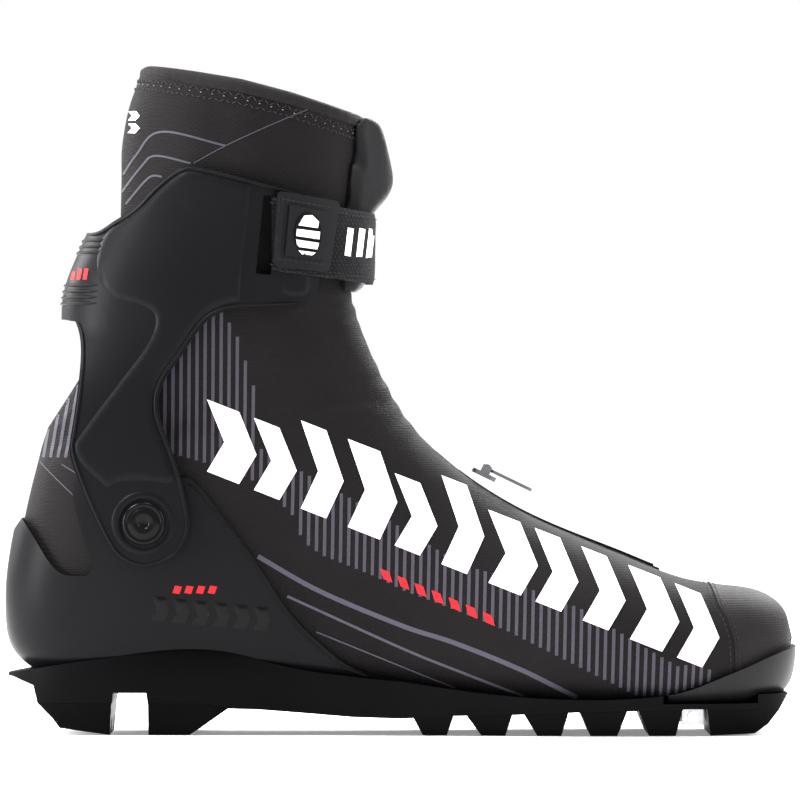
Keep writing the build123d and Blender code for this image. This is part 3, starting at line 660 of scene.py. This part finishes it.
def slanted(x, z, u, v, slope=-0.395):
    """A point u along the slanted band and v above its foot line."""
    return (x + u, z + u * slope + v)


def chevron(u, height, stroke, lean):
    """One arrow shape of the band's pattern, pointing to the toe."""
    foot = (-77.0, 101.0)
    outline = [(u, 0), (u + stroke, 0), (u + stroke + lean, height / 2), (u + stroke, height)]
    outline += [(u, height), (u + lean, height / 2)]
    return [slanted(*foot, a, b) for a, b in outline]


mark = []
for n, u in enumerate(np.arange(4.0, 184.0, 17.6)):
    height = 27.0 + (6.0 if n in (2, 3, 5) else 0.0)
    mark.append(chevron(u, height, 9.5 if n % 3 else 12.0, 6.5))
for tag, side in SIDES.items():
    for obj in (
        ribbons(f"stripes_{tag}", stripe_lines, STRIPE_WIDTH, STRIPE, cloth_tree, side, 0.10),
        ribbons(f"sweep_wide_{tag}", sweeps_a, 1.8, LINE_INK, cloth_tree, side, 0.12),
        ribbons(f"sweep_mid_{tag}", sweeps_b, 1.0, LINE_INK, cloth_tree, side, 0.12),
        ribbons(f"sweep_fine_{tag}", sweeps_c, 0.5, LINE_INK, cloth_tree, side, 0.12),
        ribbons(f"collar_lines_{tag}", collar_lines, 0.8, STRIPE, cloth_tree, side, 0.14),
        ribbons(f"fine_lines_{tag}", collar_fine + heel_seams, 0.4, STRIPE, cloth_tree, side, 0.14),
        ribbons(f"rear_lines_{tag}", rear_lines, STRIPE_WIDTH, STRIPE, cloth_tree, side, 0.12),
        panel(f"band_mark_{tag}", mark, WHITE_INK, cloth_tree, side, 0.2),
    ):
        on_cloth(obj)

ticks = []
for x in np.arange(-8, 34, 6.4):
    shift = (x + 8) * 0.42
    outline = [
        (x, 63 - shift), (x + 3.4, 63 - shift - 1.4), (x + 4.6, 57.6 - shift), (x + 1.2, 59.0 - shift)
    ]
    ticks.append(outline)
on_cloth(panel("vamp_ticks", ticks, RED_INK, cloth_tree, LATERAL, 0.2, grid=1.2))


# toe panel seam: a folded edge and two rows of stitches round the toe
def seam_round(shift, count=150):
    """3-D points where the toe seam's surface cuts the cloth, from one side over the top to the other."""
    out = []
    for a in np.linspace(math.radians(-205), math.radians(25), count)[::-1]:
        x = 0.122
        point = None
        for _ in range(4):
            way = Vector((0, math.cos(a), -math.sin(a)))
            start = Vector((x, 0.003, 0.030)) + way * 0.09
            hit = cloth_tree.ray_cast(start, -way, 0.09)
            if hit[0] is None:
                break
            point = hit[0]
            x = (curve_x(TOE_SEAM, point.z * 1000) + shift) * MM
        if point is not None:
            out.append(point + Vector((0, math.cos(a), -math.sin(a))) * 0.1 * MM)
    return out


fold = bead("toe_seam_fold", [seam_round(0.4)], 0.38, SEAM_CLOTH)
rows = stitches("toe_seam_stitching", [seam_round(1.8), seam_round(-1.6)], 2.3, 1.5, 0.22, THREAD)
for obj in (fold, rows):
    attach(obj, "boot")


def over_instep(y, x0, x1, lift=0.1):
    """3-D points on top of the cloth along the foot, at one distance from its middle."""
    out = []
    for x in np.linspace(x0, x1, 90):
        hit = cloth_tree.ray_cast(Vector((x * MM, y * MM, 0.2)), Vector((0, 0, -1)), 0.2)
        if hit[0] is not None:
            out.append(hit[0] + hit[1] * lift * MM)
    return out


edge_rows = [over_instep(y, 10, 98) for y in (-7.0, -4.5, 24.5, 27.0)]
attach(stitches("instep_stitching", edge_rows, 2.4, 1.5, 0.2, THREAD), "boot")
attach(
    bead(
        "placket_edges", [over_instep(-1.5, 12, 97, 0.2), over_instep(21.5, 12, 97, 0.2)], 0.45, SEAM_CLOTH
    ),
    "boot",
)

# ---------------------------------------------------------------- heel cup
EMBLEM = [[(-38.6, 191.6), (-31.4, 190.6), (-31.0, 193.0), (-33.6, 195.4), (-36.4, 195.2)]]
EMBLEM += [[(-39.4, 187.6), (-30.8, 186.4), (-30.6, 189.2), (-39.2, 190.2)]]
EMBLEM += [[(-39.0, 183.6), (-31.6, 182.6), (-31.0, 185.0), (-39.4, 186.2)]]
EMBLEM += [[(-37.4, 180.8), (-33.6, 180.4), (-32.2, 181.4), (-38.6, 182.2)]]
emboss = []
for n, x in enumerate(np.arange(-94, -54, 7.6)):
    foot = 43.5 + 0.1 * (x + 94) * -1
    emboss.append(
        [
            (x, foot), (x + 5.2, foot - 0.6), (x + 6.8, foot + 4.0), (x + 5.6, foot + 8.6),
            (x + 0.4, foot + 9.2), (x + 2.0, foot + 4.6),
        ]
    )
cup_ticks = [
    [(x, 53.8), (x + 2.6, 53.4), (x + 3.6, 56.2), (x + 1.0, 56.6)]
    for x in np.arange(-86, -69, 4.4)
]
CUP_FRONT = [
    (-80, 95), (-76.5, 92.5), (-72.8, 88), (-61, 72.4), (-51.2, 57.4), (-39.4, 41), (-31.4, 33),
    (-23, 26.4), (-12.5, 22),
]
for tag, side in SIDES.items():
    for obj in (
        panel(f"cup_emboss_{tag}", emboss, EMBOSS, cup_tree, side, 0.05, raised=0.35, bevel=0.8, grid=1.2),
        panel(f"cup_ticks_{tag}", cup_ticks, RED_INK, cup_tree, side, 0.12, grid=1.2),
        bead(f"cup_edge_{tag}", [traced(cup_tree, CUP_FRONT, side, 0.0)], 0.55, CUP_PLASTIC),
    ):
        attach(obj, "boot")

# ---------------------------------------------------------------- cuff: raised outer face, rims and ribs
FACE_TOP = [
    (-110.0, 190.6), (-103.5, 194.6), (-97.0, 199.4), (-91.5, 204.6), (-86.4, 208.8), (-82.0, 211.3)
]
FACE_TOP += [(-78.0, 211.8), (-65.0, 209.0), (-56.5, 207.2)]
FACE_FRONT = [(-56.5, 207.2), (-57.5, 196.0), (-60.0, 174.0), (-60.5, 163.0)]
FACE_LOW = [(-60.5, 163.0), (-66.0, 162.0), (-73.0, 158.6), (-78.6, 152.4), (-84.6, 143.2), (-89.8, 136.0)]
FACE_LOW += [(-92.6, 129.6), (-93.2, 124.0), (-92.2, 118.0), (-88.2, 107.0), (-85.2, 98.0)]
FACE_LOW += [(-87.0, 95.0), (-92.0, 95.4), (-98.0, 96.0), (-105.0, 95.6), (-110.0, 93.4)]
FACE_BACK = [
    (-110.0, 93.4), (-116.0, 98.6), (-121.0, 104.0), (-122.6, 109.0), (-119.8, 113.6), (-113.0, 123.0)
]
FACE_BACK += [
    (-105.0, 133.5), (-97.0, 144.0), (-93.5, 150.0), (-92.0, 155.0), (-93.0, 159.0), (-98.0, 162.0)
]
FACE_BACK += [(-108.0, 165.0), (-113.0, 170.0), (-114.5, 178.0), (-113.0, 186.0), (-110.0, 190.6)]


def loop_of(*runs):
    """One closed outline from smooth runs that meet at corners."""
    points = []
    for run in runs:
        count = max(4, int(sum(math.dist(a, b) for a, b in zip(run, run[1:])) / 1.3))
        points += [tuple(p) for p in smooth_path(run, count)][:-1]
    return points


face = loop_of(FACE_TOP, FACE_FRONT, FACE_LOW, FACE_BACK)
CUFF_RIM = [
    (-118.0, 188.6), (-113.8, 189.0), (-108.4, 192.0), (-99.6, 197.4), (-92.6, 204.6), (-86.4, 209.8)
]
CUFF_RIM += [(-81.8, 212.4), (-77.8, 212.8), (-65.0, 210.0), (-50.0, 206.0), (-40.0, 203.4), (-32.8, 200.4)]
CUFF_FOOT = [(-38.0, 162.6), (-50.0, 162.0), (-60.0, 161.6), (-66.4, 160.6), (-72.8, 157.4), (-78.0, 151.8)]
CUFF_FOOT += [
    (-84.0, 142.6), (-89.2, 135.6), (-91.7, 129.4), (-92.2, 124.0), (-91.2, 118.0), (-87.2, 107.4)
]
CUFF_FOOT += [(-84.2, 98.4), (-81.7, 88.2), (-80.5, 80.0), (-81.4, 74.6), (-85.8, 68.1), (-93.4, 64.8)]
CUFF_FOOT += [
    (-99.6, 65.0), (-105.2, 68.0), (-109.0, 72.8), (-114.9, 84.5), (-119.8, 96.4), (-123.2, 107.2)
]
CUFF_FOOT += [(-122.4, 115.0), (-120.8, 126.0), (-119.4, 140.0), (-119.8, 150.0), (-121.6, 155.4)]
WING_BAR = [
    [
        (-43.6, 202.0), (-34.4, 199.4), (-33.6, 196.0), (-34.2, 168.6), (-36.0, 165.4), (-41.0, 165.0),
        (-44.6, 166.2), (-45.4, 172.0),
    ]
]
for tag, side in SIDES.items():
    for obj in (
        panel(
            f"cuff_face_{tag}", [face], CUFF_PLASTIC, cuff_tree, side, 0.05, raised=0.75, bevel=1.8,
            grid=1.5,
        ),
        bead(f"cuff_rim_{tag}", [traced(cuff_tree, CUFF_RIM, side, 0.1)], 0.62, CUFF_PLASTIC),
        bead(f"cuff_foot_{tag}", [traced(cuff_tree, CUFF_FOOT, side, 0.1)], 0.62, CUFF_PLASTIC),
        panel(
            f"cuff_wing_{tag}", WING_BAR, CUFF_PLASTIC, cuff_tree, side, 0.05, raised=0.5, bevel=1.0,
            grid=1.2,
        ),
    ):
        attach(obj, "cuff")


def round_back(tree, z, reach, lift, fall=0.0):
    """3-D points round the back of the cuff at a height (mm)."""
    out = []
    for a in np.linspace(-reach, reach, 60):
        way = Vector((-math.cos(a), math.sin(a), 0))
        start = Vector((-0.085, 0, (z - fall * abs(a)) * MM)) + way * 0.09
        hit = tree.ray_cast(start, -way, 0.09)
        if hit[0] is not None:
            out.append(hit[0] + way * lift * MM)
    return out


ribs = [round_back(cuff_tree, z, 0.85, 0.0) for z in (162.6, 164.9, 167.2, 169.5, 181.8, 184.1, 186.4)]
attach(bead("cuff_ribs", ribs, 0.62, CUFF_PLASTIC), "cuff")
back_tick = [
    [(x, 171.6), (x + 1.5, 171.4), (x + 2.2, 175.6), (x + 0.7, 175.8)]
    for x in np.arange(-125.0, -117.5, 2.5)
]
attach(panel("cuff_back_ticks", back_tick, RED_INK, cuff_tree, LATERAL, 0.12, grid=0.9), "cuff")


def turned(name, centre, side, profile, material, count=64):
    """A round boss on the pivot axis: profile holds (radius, height) in mm."""
    points, quads = [], []
    for r, h in profile:
        for s in range(count):
            a = 2 * math.pi * s / count
            points.append(
                ((centre[0] + r * math.cos(a)) * MM, side * h * MM, (centre[1] + r * math.sin(a)) * MM)
            )
    for i in range(len(profile) - 1):
        for s in range(count):
            k = (s + 1) % count
            quads.append((i * count + s, i * count + k, (i + 1) * count + k, (i + 1) * count + s))
    quads.append(tuple(range((len(profile) - 1) * count, len(profile) * count)))
    return make(name, points, quads, material)


PIVOT_AT = (-96.5, 80.0)
cap_profile = [
    (8.0, 45.9), (8.15, 46.6), (8.0, 47.3), (7.5, 47.85), (6.7, 48.0), (6.3, 47.5), (5.9, 47.5), (5.5, 48.0)
]
cap_profile += [(4.0, 48.15), (2.2, 48.2), (1.9, 47.7), (1.6, 47.6)]
boss_profile = [(12.4, 44.0), (12.3, 45.2), (11.6, 45.9), (9.4, 46.0), (9.0, 45.6), (8.4, 45.5)]
for tag, side in SIDES.items():
    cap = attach(turned(f"pivot_cap_{tag}", PIVOT_AT, side, cap_profile, CAP), "boot")
    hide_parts("pivot_caps")
    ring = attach(turned(f"pivot_ring_{tag}", PIVOT_AT, side, boss_profile, CUFF_PLASTIC), "cuff")

# ---------------------------------------------------------------- strap, patch and collar
strap_tree = tree_of(nodes["strap"])


def strap_z(x, top):
    """Height of the strap's upper or lower edge at x (mm)."""
    if top:
        return float(np.interp(x, [-52.4, -10.0, 4.0], [203.0, 197.0, 195.6]))
    return float(np.interp(x, [-52.4, -12.0, 4.0], [175.0, 170.0, 168.6]))


def level_hit(tree, centre, angle, z, inner=False):
    """A wall's point at a height, looking level towards or from an upright axis through centre."""
    way = Vector((math.cos(angle), math.sin(angle), 0))
    middle = Vector((centre[0] * MM, centre[1] * MM, z * MM))
    if inner:
        hit = tree.ray_cast(middle, way, 0.12)
    else:
        hit = tree.ray_cast(middle + way * 0.12, -way, 0.12)
    return hit[0]


def strap_grid(first, last, across=14, along=150):
    """Rows of points across the strap's outer face, from one angle to another round the shin."""
    rows = []
    for a in np.linspace(first, last, along):
        x = -20.0
        for _ in range(4):
            hit = level_hit(strap_tree, (-50, 0), a, (strap_z(x, True) + strap_z(x, False)) / 2)
            if hit is None:
                break
            x = hit.x * 1000
        if hit is None:
            continue
        row = []
        for v in np.linspace(0.01, 0.99, across):
            z = strap_z(x, False) * (1 - v) + strap_z(x, True) * v
            p = level_hit(strap_tree, (-50, 0), a, z)
            row.append(p)
        if all(p is not None for p in row):
            rows.append((a, row))
    return rows


def cloth_strip(name, rows, thick, material, fuzz=0.25):
    """A strip with rolled, slightly ragged edges, from rows of outer points."""
    points, quads = [], []
    across = len(rows[0][1])
    for n, (a, row) in enumerate(rows):
        way = Vector((math.cos(a), math.sin(a), 0))
        up = (row[-1] - row[0]).normalized()
        section = []
        for v, p in enumerate(row):
            ragged = fuzz * (noise.noise(p * 900.0)) + 0.12 * noise.noise(p * 200.0)
            edge = min(v, across - 1 - v)
            drop_in = (0.55 if edge == 0 else 0.12 if edge == 1 else 0.0) - 0.15
            section.append(p + way * (ragged * 0.6 - drop_in) * MM + up * (ragged if edge == 0 else 0) * MM)
        section.append(row[-1] - way * thick * MM)
        section.append(row[0] - way * thick * MM)
        points += section
        size = len(section)
        if n:
            for s in range(size):
                k = (s + 1) % size
                quads.append(((n - 1) * size + s, (n - 1) * size + k, n * size + k, n * size + s))
    return make(name, points, quads, material)


rows = strap_grid(math.radians(-92), math.radians(92))
if rows:
    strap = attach(cloth_strip("shin_strap", rows, 1.8, WEBBING), "cuff")
    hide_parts("strap")
    edges = []
    for v in (1, -2):
        edges.append([row[v] + Vector((math.cos(a), math.sin(a), 0)) * 0.25 * MM for a, row in rows])
    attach(stitches("strap_stitching", edges, 2.0, 1.3, 0.2, THREAD), "cuff")

    strap_face = tree_of(strap)
    blocks = []
    for x in (-21.5, -17.2, -13.6):
        blocks.append([(x, 180.4 - 0.1 * (x + 20)), (x + 2.2, 180.2), (x + 3.4, 190.6), (x + 1.2, 191.0)])
    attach(panel("strap_blocks", blocks, WHITE_INK, strap_face, LATERAL, 0.15, grid=0.8), "cuff")

patch_tree = tree_of(nodes["strap_patch"])
groove_rows = [
    traced(patch_tree, [(-45.6, 178.9), (-29.6, 177.1)], LATERAL, 0.1),
    traced(patch_tree, [(-44.4, 201.3), (-26.2, 198.4)], LATERAL, 0.1),
]
bars = [[(-47.4, 178.4), (-45.4, 178.2), (-44.0, 202.6), (-46.0, 202.8)]]
for obj in (
    stitches("patch_stitching", groove_rows, 2.1, 1.4, 0.22, THREAD),
    panel("patch_bar", bars, PATCH, patch_tree, LATERAL, 0.05, raised=0.6, bevel=0.8, grid=1.0),
    panel(
        "patch_emblem",
        EMBLEM,
        WHITE_INK,
        tree_of(nodes["patch_badge"], nodes["strap_patch"]),
        LATERAL,
        0.12,
        grid=0.8,
    ),
):
    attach(obj, "cuff")

# ---------------------------------------------------------------- collar: rim, stitching, lining, tongue
RIM = [
    (-106.0, 254.6), (-101.0, 253.6), (-78.0, 249.8), (-60.0, 246.6), (-42.0, 241.9), (-24.0, 236.2),
    (-5.0, 230.6),
]
outer_tree = tree_of(nodes["collar_hem"], nodes["collar_sleeve"], nodes["ankle_flex"])
lining_tree = tree_of(nodes["collar_lining"], nodes["foot_lining"], nodes["collar_hem"])
MOUTH = (-58.0, 0.0)


def rim_point(tree, angle, below, inner):
    """A point of the collar's wall so far below the rim, measured upright."""
    x = MOUTH[0] + 41.0 * math.cos(angle)
    p = None
    for _ in range(6):
        p = level_hit(tree, MOUTH, angle, at(RIM, x) - below, inner)
        if p is None:
            x -= 2.0 * math.cos(angle)
        else:
            x = p.x * 1000
    return p


def hem_band():
    """The rolled binding over the collar's rim."""
    points, quads = [], []
    rings = []
    for a in np.linspace(-math.pi, math.pi, 168, endpoint=False):
        out = rim_point(outer_tree, a, 2.5, False)
        inn = rim_point(lining_tree, a, 2.5, True)
        if out is None or inn is None:
            continue
        way = Vector((math.cos(a), math.sin(a), 0))
        rim = at(RIM, (out.x + inn.x) * 500)
        width = (out - inn).length
        ripple = (0.25 * noise.noise(out * 60.0) + 0.12 * math.sin(a * 120)) * MM
        section = []
        for s, h in ((0.35, -5.2), (0.55, -4.2), (0.6, -2.6), (0.3, -1.3)):
            section.append(out + way * (s * MM + ripple) + Vector((0, 0, rim * MM + h * MM - out.z)))
        for t, h in ((0.16, -0.45), (0.34, -0.05), (0.5, 0.05), (0.66, -0.05), (0.84, -0.45)):
            p = out.lerp(inn, t)
            section.append(p + Vector((0, 0, rim * MM + h * MM - p.z)))
        for s, h in ((0.3, -1.4), (0.6, -2.8), (0.5, -4.4), (0.0, -5.4)):
            section.append(inn - way * s * MM + Vector((0, 0, rim * MM + h * MM - inn.z)))
        rings.append(section)
    size = len(rings[0])
    for section in rings:
        points += section
    for n in range(len(rings)):
        m = (n + 1) % len(rings)
        for s in range(size - 1):
            quads.append((n * size + s, n * size + s + 1, m * size + s + 1, m * size + s))
    return make("collar_binding", points, quads, SEAM_CLOTH)


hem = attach(hem_band(), "cuff")
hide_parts("collar_hem")


def collar_row(below, first=-math.pi, last=math.pi, lift=0.25, count=300):
    """Points round the collar at one distance below its rim, as far as the tongue."""
    out = []
    for a in np.linspace(first, last, count):
        p = rim_point(cloth_tree, a, below, False)
        if p is not None and p.x < -0.0125:
            out.append(p + Vector((math.cos(a), math.sin(a), 0)) * lift * MM)
    return out


def split_rows(path):
    """Cuts a path where it jumps."""
    runs, run = [], path[:1]
    for a, b in zip(path, path[1:]):
        if (b - a).length > 0.008:
            runs.append(run)
            run = []
        run.append(b)
    return [r for r in runs + [run] if len(r) > 2]


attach(stitches("overlock_upper", split_rows(collar_row(6.3)), 2.3, 1.6, 0.24, THREAD, zigzag=1.4), "cuff")
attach(stitches("overlock_lower", split_rows(collar_row(9.4)), 2.3, 1.4, 0.24, THREAD, zigzag=0.8), "cuff")
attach(stitches("overlock_dots", split_rows(collar_row(7.6)), 4.6, 0.5, 0.28, THREAD_LIGHT), "cuff")


def padded_lining():
    """The collar's inner wall: foam channels between sewn lines, cast onto the CAD wall."""
    around, down = 132, 60
    points = []
    keep = []
    for i in range(down):
        t = i / (down - 1)
        for a in np.linspace(-math.pi, math.pi, around, endpoint=False):
            x = MOUTH[0] + 34.0 * math.cos(a)
            p = None
            for _ in range(3):
                top = at(RIM, x) - 5.0
                z = top * (1 - t) + 132.0 * t
                p = level_hit(lining_tree, MOUTH, a, z, True)
                if p is None:
                    break
                x = p.x * 1000
            keep.append(p is not None)
            inward = Vector((math.cos(a), math.sin(a), 0)) * 0.6 * MM  # clear of the wall behind it
            points.append(p - inward if p is not None else Vector((0, 0, 0)))
    grid = [(i, j) for i in range(down - 1) for j in range(around)]
    quads = []
    for i, j in grid:
        k = (j + 1) % around
        cell = (i * around + j, (i + 1) * around + j, (i + 1) * around + k, i * around + k)
        if all(keep[c] for c in cell) and max((points[cell[0]] - points[c]).length for c in cell) < 0.012:
            quads.append(cell)
    obj = make("collar_padding", points, quads, LINING)
    held = obj.vertex_groups.new(name="sewn")
    for i in range(down):
        for j in range(around):
            if i in (0, down - 1) or i % 15 == 0 or j % 22 == 0:
                held.add([i * around + j], 1.0, "REPLACE")
    return obj


def cushion(obj, pressure, cap, group=None, frames=20, stiff=12.0):
    """Lets a closed or sewn-down cloth puff up under a little inner pressure, then fixes the result."""
    rest = np.empty(len(obj.data.vertices) * 3)
    obj.data.vertices.foreach_get("co", rest)
    scene = bpy.context.scene
    mod = obj.modifiers.new("Cloth", "CLOTH")
    settings = mod.settings
    settings.quality = 6
    settings.mass = 0.15
    settings.use_pressure = True
    settings.uniform_pressure_force = pressure
    settings.tension_stiffness = stiff
    settings.compression_stiffness = stiff
    settings.bending_stiffness = 0.4
    settings.effector_weights.gravity = 0.0
    if group:
        settings.vertex_group_mass = group
    mod.collision_settings.use_collision = False
    mod.point_cache.frame_start, mod.point_cache.frame_end = 1, frames
    for f in range(1, frames + 1):
        scene.frame_set(f)
    done = obj.evaluated_get(bpy.context.evaluated_depsgraph_get())
    moved = np.empty(len(rest))
    done.data.vertices.foreach_get("co", moved)
    obj.modifiers.remove(mod)
    scene.frame_set(1)
    step = (moved - rest).reshape(-1, 3)
    size = np.linalg.norm(step, axis=1)
    step *= np.minimum(1.0, cap / np.maximum(size, 1e-12))[:, None]
    obj.data.vertices.foreach_set("co", (rest.reshape(-1, 3) + step).ravel())
    obj.data.update()
    print(obj.name, "swelled by up to", round(float(np.minimum(size, cap).max()) * 1000, 2), "mm")


padding = padded_lining()
cushion(padding, -3.0, 0.0022, group="sewn")
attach(padding, "cuff")


def shin_pad():
    """The tongue: the CAD solid's shape, remeshed, softened and puffed up."""
    source = nodes["shin_tongue"]
    mesh = source.data.copy()
    obj = bpy.data.objects.new("padded_tongue", mesh)
    bpy.context.scene.collection.objects.link(obj)
    remesh = obj.modifiers.new("Remesh", "REMESH")
    remesh.mode = "VOXEL"
    remesh.voxel_size = 0.0022
    soften = obj.modifiers.new("Soften", "SMOOTH")
    soften.iterations = 5
    soften.factor = 0.5
    done = bpy.data.meshes.new_from_object(obj.evaluated_get(bpy.context.evaluated_depsgraph_get()))
    obj.modifiers.clear()
    obj.data = done
    done.materials.clear()
    done.materials.append(TONGUE_CLOTH)
    done.polygons.foreach_set("use_smooth", [True] * len(done.polygons))
    cushion(obj, 4.0, 0.0012)
    sub = obj.modifiers.new("Subdivision", "SUBSURF")
    sub.levels = sub.render_levels = 1
    return obj


tongue = shin_pad()
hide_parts("shin_tongue")
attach(tongue, "cuff")

collar_mark = []
for z in (226.6, 231.4):
    collar_mark.append(
        [
            (-103.4, z + 0.6), (-100.4, z + 0.2), (-98.6, z + 2.0), (-100.2, z + 3.8), (-103.2, z + 4.0),
            (-101.6, z + 2.2),
        ]
    )
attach(panel("collar_mark", collar_mark, WHITE_INK, cloth_tree, LATERAL, 0.2, grid=0.9), "cuff")

# ---------------------------------------------------------------- the cloth body's placement and subdivision
on_cloth(fabric)
sub = fabric.modifiers.new("Subdivision", "SUBSURF")
sub.levels = 0
sub.render_levels = 1

# ---------------------------------------------------------------- floor, light and camera
world = bpy.data.worlds.new("studio")
world.use_nodes = True
background = world.node_tree.nodes["Background"]
background.inputs["Color"].default_value = (1.0, 1.0, 1.0, 1.0)
background.inputs["Strength"].default_value = 1.0
bpy.context.scene.world = world
bpy.context.scene.view_settings.view_transform = "Standard"

paper = plastic("floor_paper", (0.93, 0.93, 0.93), (0.95, 0.95, 0.95), rough=(0.85, 0.9), grain=0.0)
paper_shader = paper.node_tree.nodes["Principled BSDF"]
paper_shader.inputs["Emission Color"].default_value = (1, 1, 1, 1)
paper_shader.inputs["Emission Strength"].default_value = 0.25
FLOOR, FLOOR_Z = 40, -0.0002
corners = [
    (-FLOOR, -FLOOR, FLOOR_Z), (FLOOR, -FLOOR, FLOOR_Z), (FLOOR, FLOOR, FLOOR_Z), (-FLOOR, FLOOR, FLOOR_Z)
]
floor = make("floor", corners, [(0, 1, 2, 3)], paper)


def area_light(name, at_point, target, size, power):
    """A rectangular lamp that faces its target."""
    data = bpy.data.lights.new(name, "AREA")
    data.shape = "RECTANGLE"
    data.size, data.size_y = size
    data.energy = power
    lamp = bpy.data.objects.new(name, data)
    bpy.context.scene.collection.objects.link(lamp)
    lamp.location = at_point
    lamp.rotation_euler = (Vector(target) - Vector(at_point)).to_track_quat("-Z", "Y").to_euler()


MIDDLE = (-0.02, 0.0, 0.13)
area_light("key", (-1.0, -0.45, 1.45), MIDDLE, (0.8, 0.5), 60.0)
area_light("fill", (1.5, -0.5, 0.7), MIDDLE, (0.5, 0.9), 20.0)
area_light("top", (0.1, 0.1, 1.6), MIDDLE, (0.9, 0.5), 30.0)
area_light("rear_left", (-1.5, -0.35, 0.35), MIDDLE, (0.35, 0.7), 30.0)
area_light("rear", (-1.2, 1.0, 0.7), MIDDLE, (0.5, 0.8), 16.0)
area_light("far_side", (0.6, 1.4, 0.9), MIDDLE, (0.9, 0.7), 26.0)

SENSOR = 36.0
AWAY = 3.0  # from the camera to the middle of the boot, in metres
VIEW_WIDTH = 0.304  # what the picture shows there
lens = bpy.data.cameras.new("camera")
lens.sensor_width = SENSOR
lens.lens = SENSOR * AWAY / VIEW_WIDTH
lens.clip_end = 200.0
camera = bpy.data.objects.new("camera", lens)
bpy.context.scene.collection.objects.link(camera)
camera.location = (-0.0006, -AWAY, 0.1262)
camera.rotation_euler = (math.pi / 2, 0.0, 0.0)
bpy.context.scene.camera = camera

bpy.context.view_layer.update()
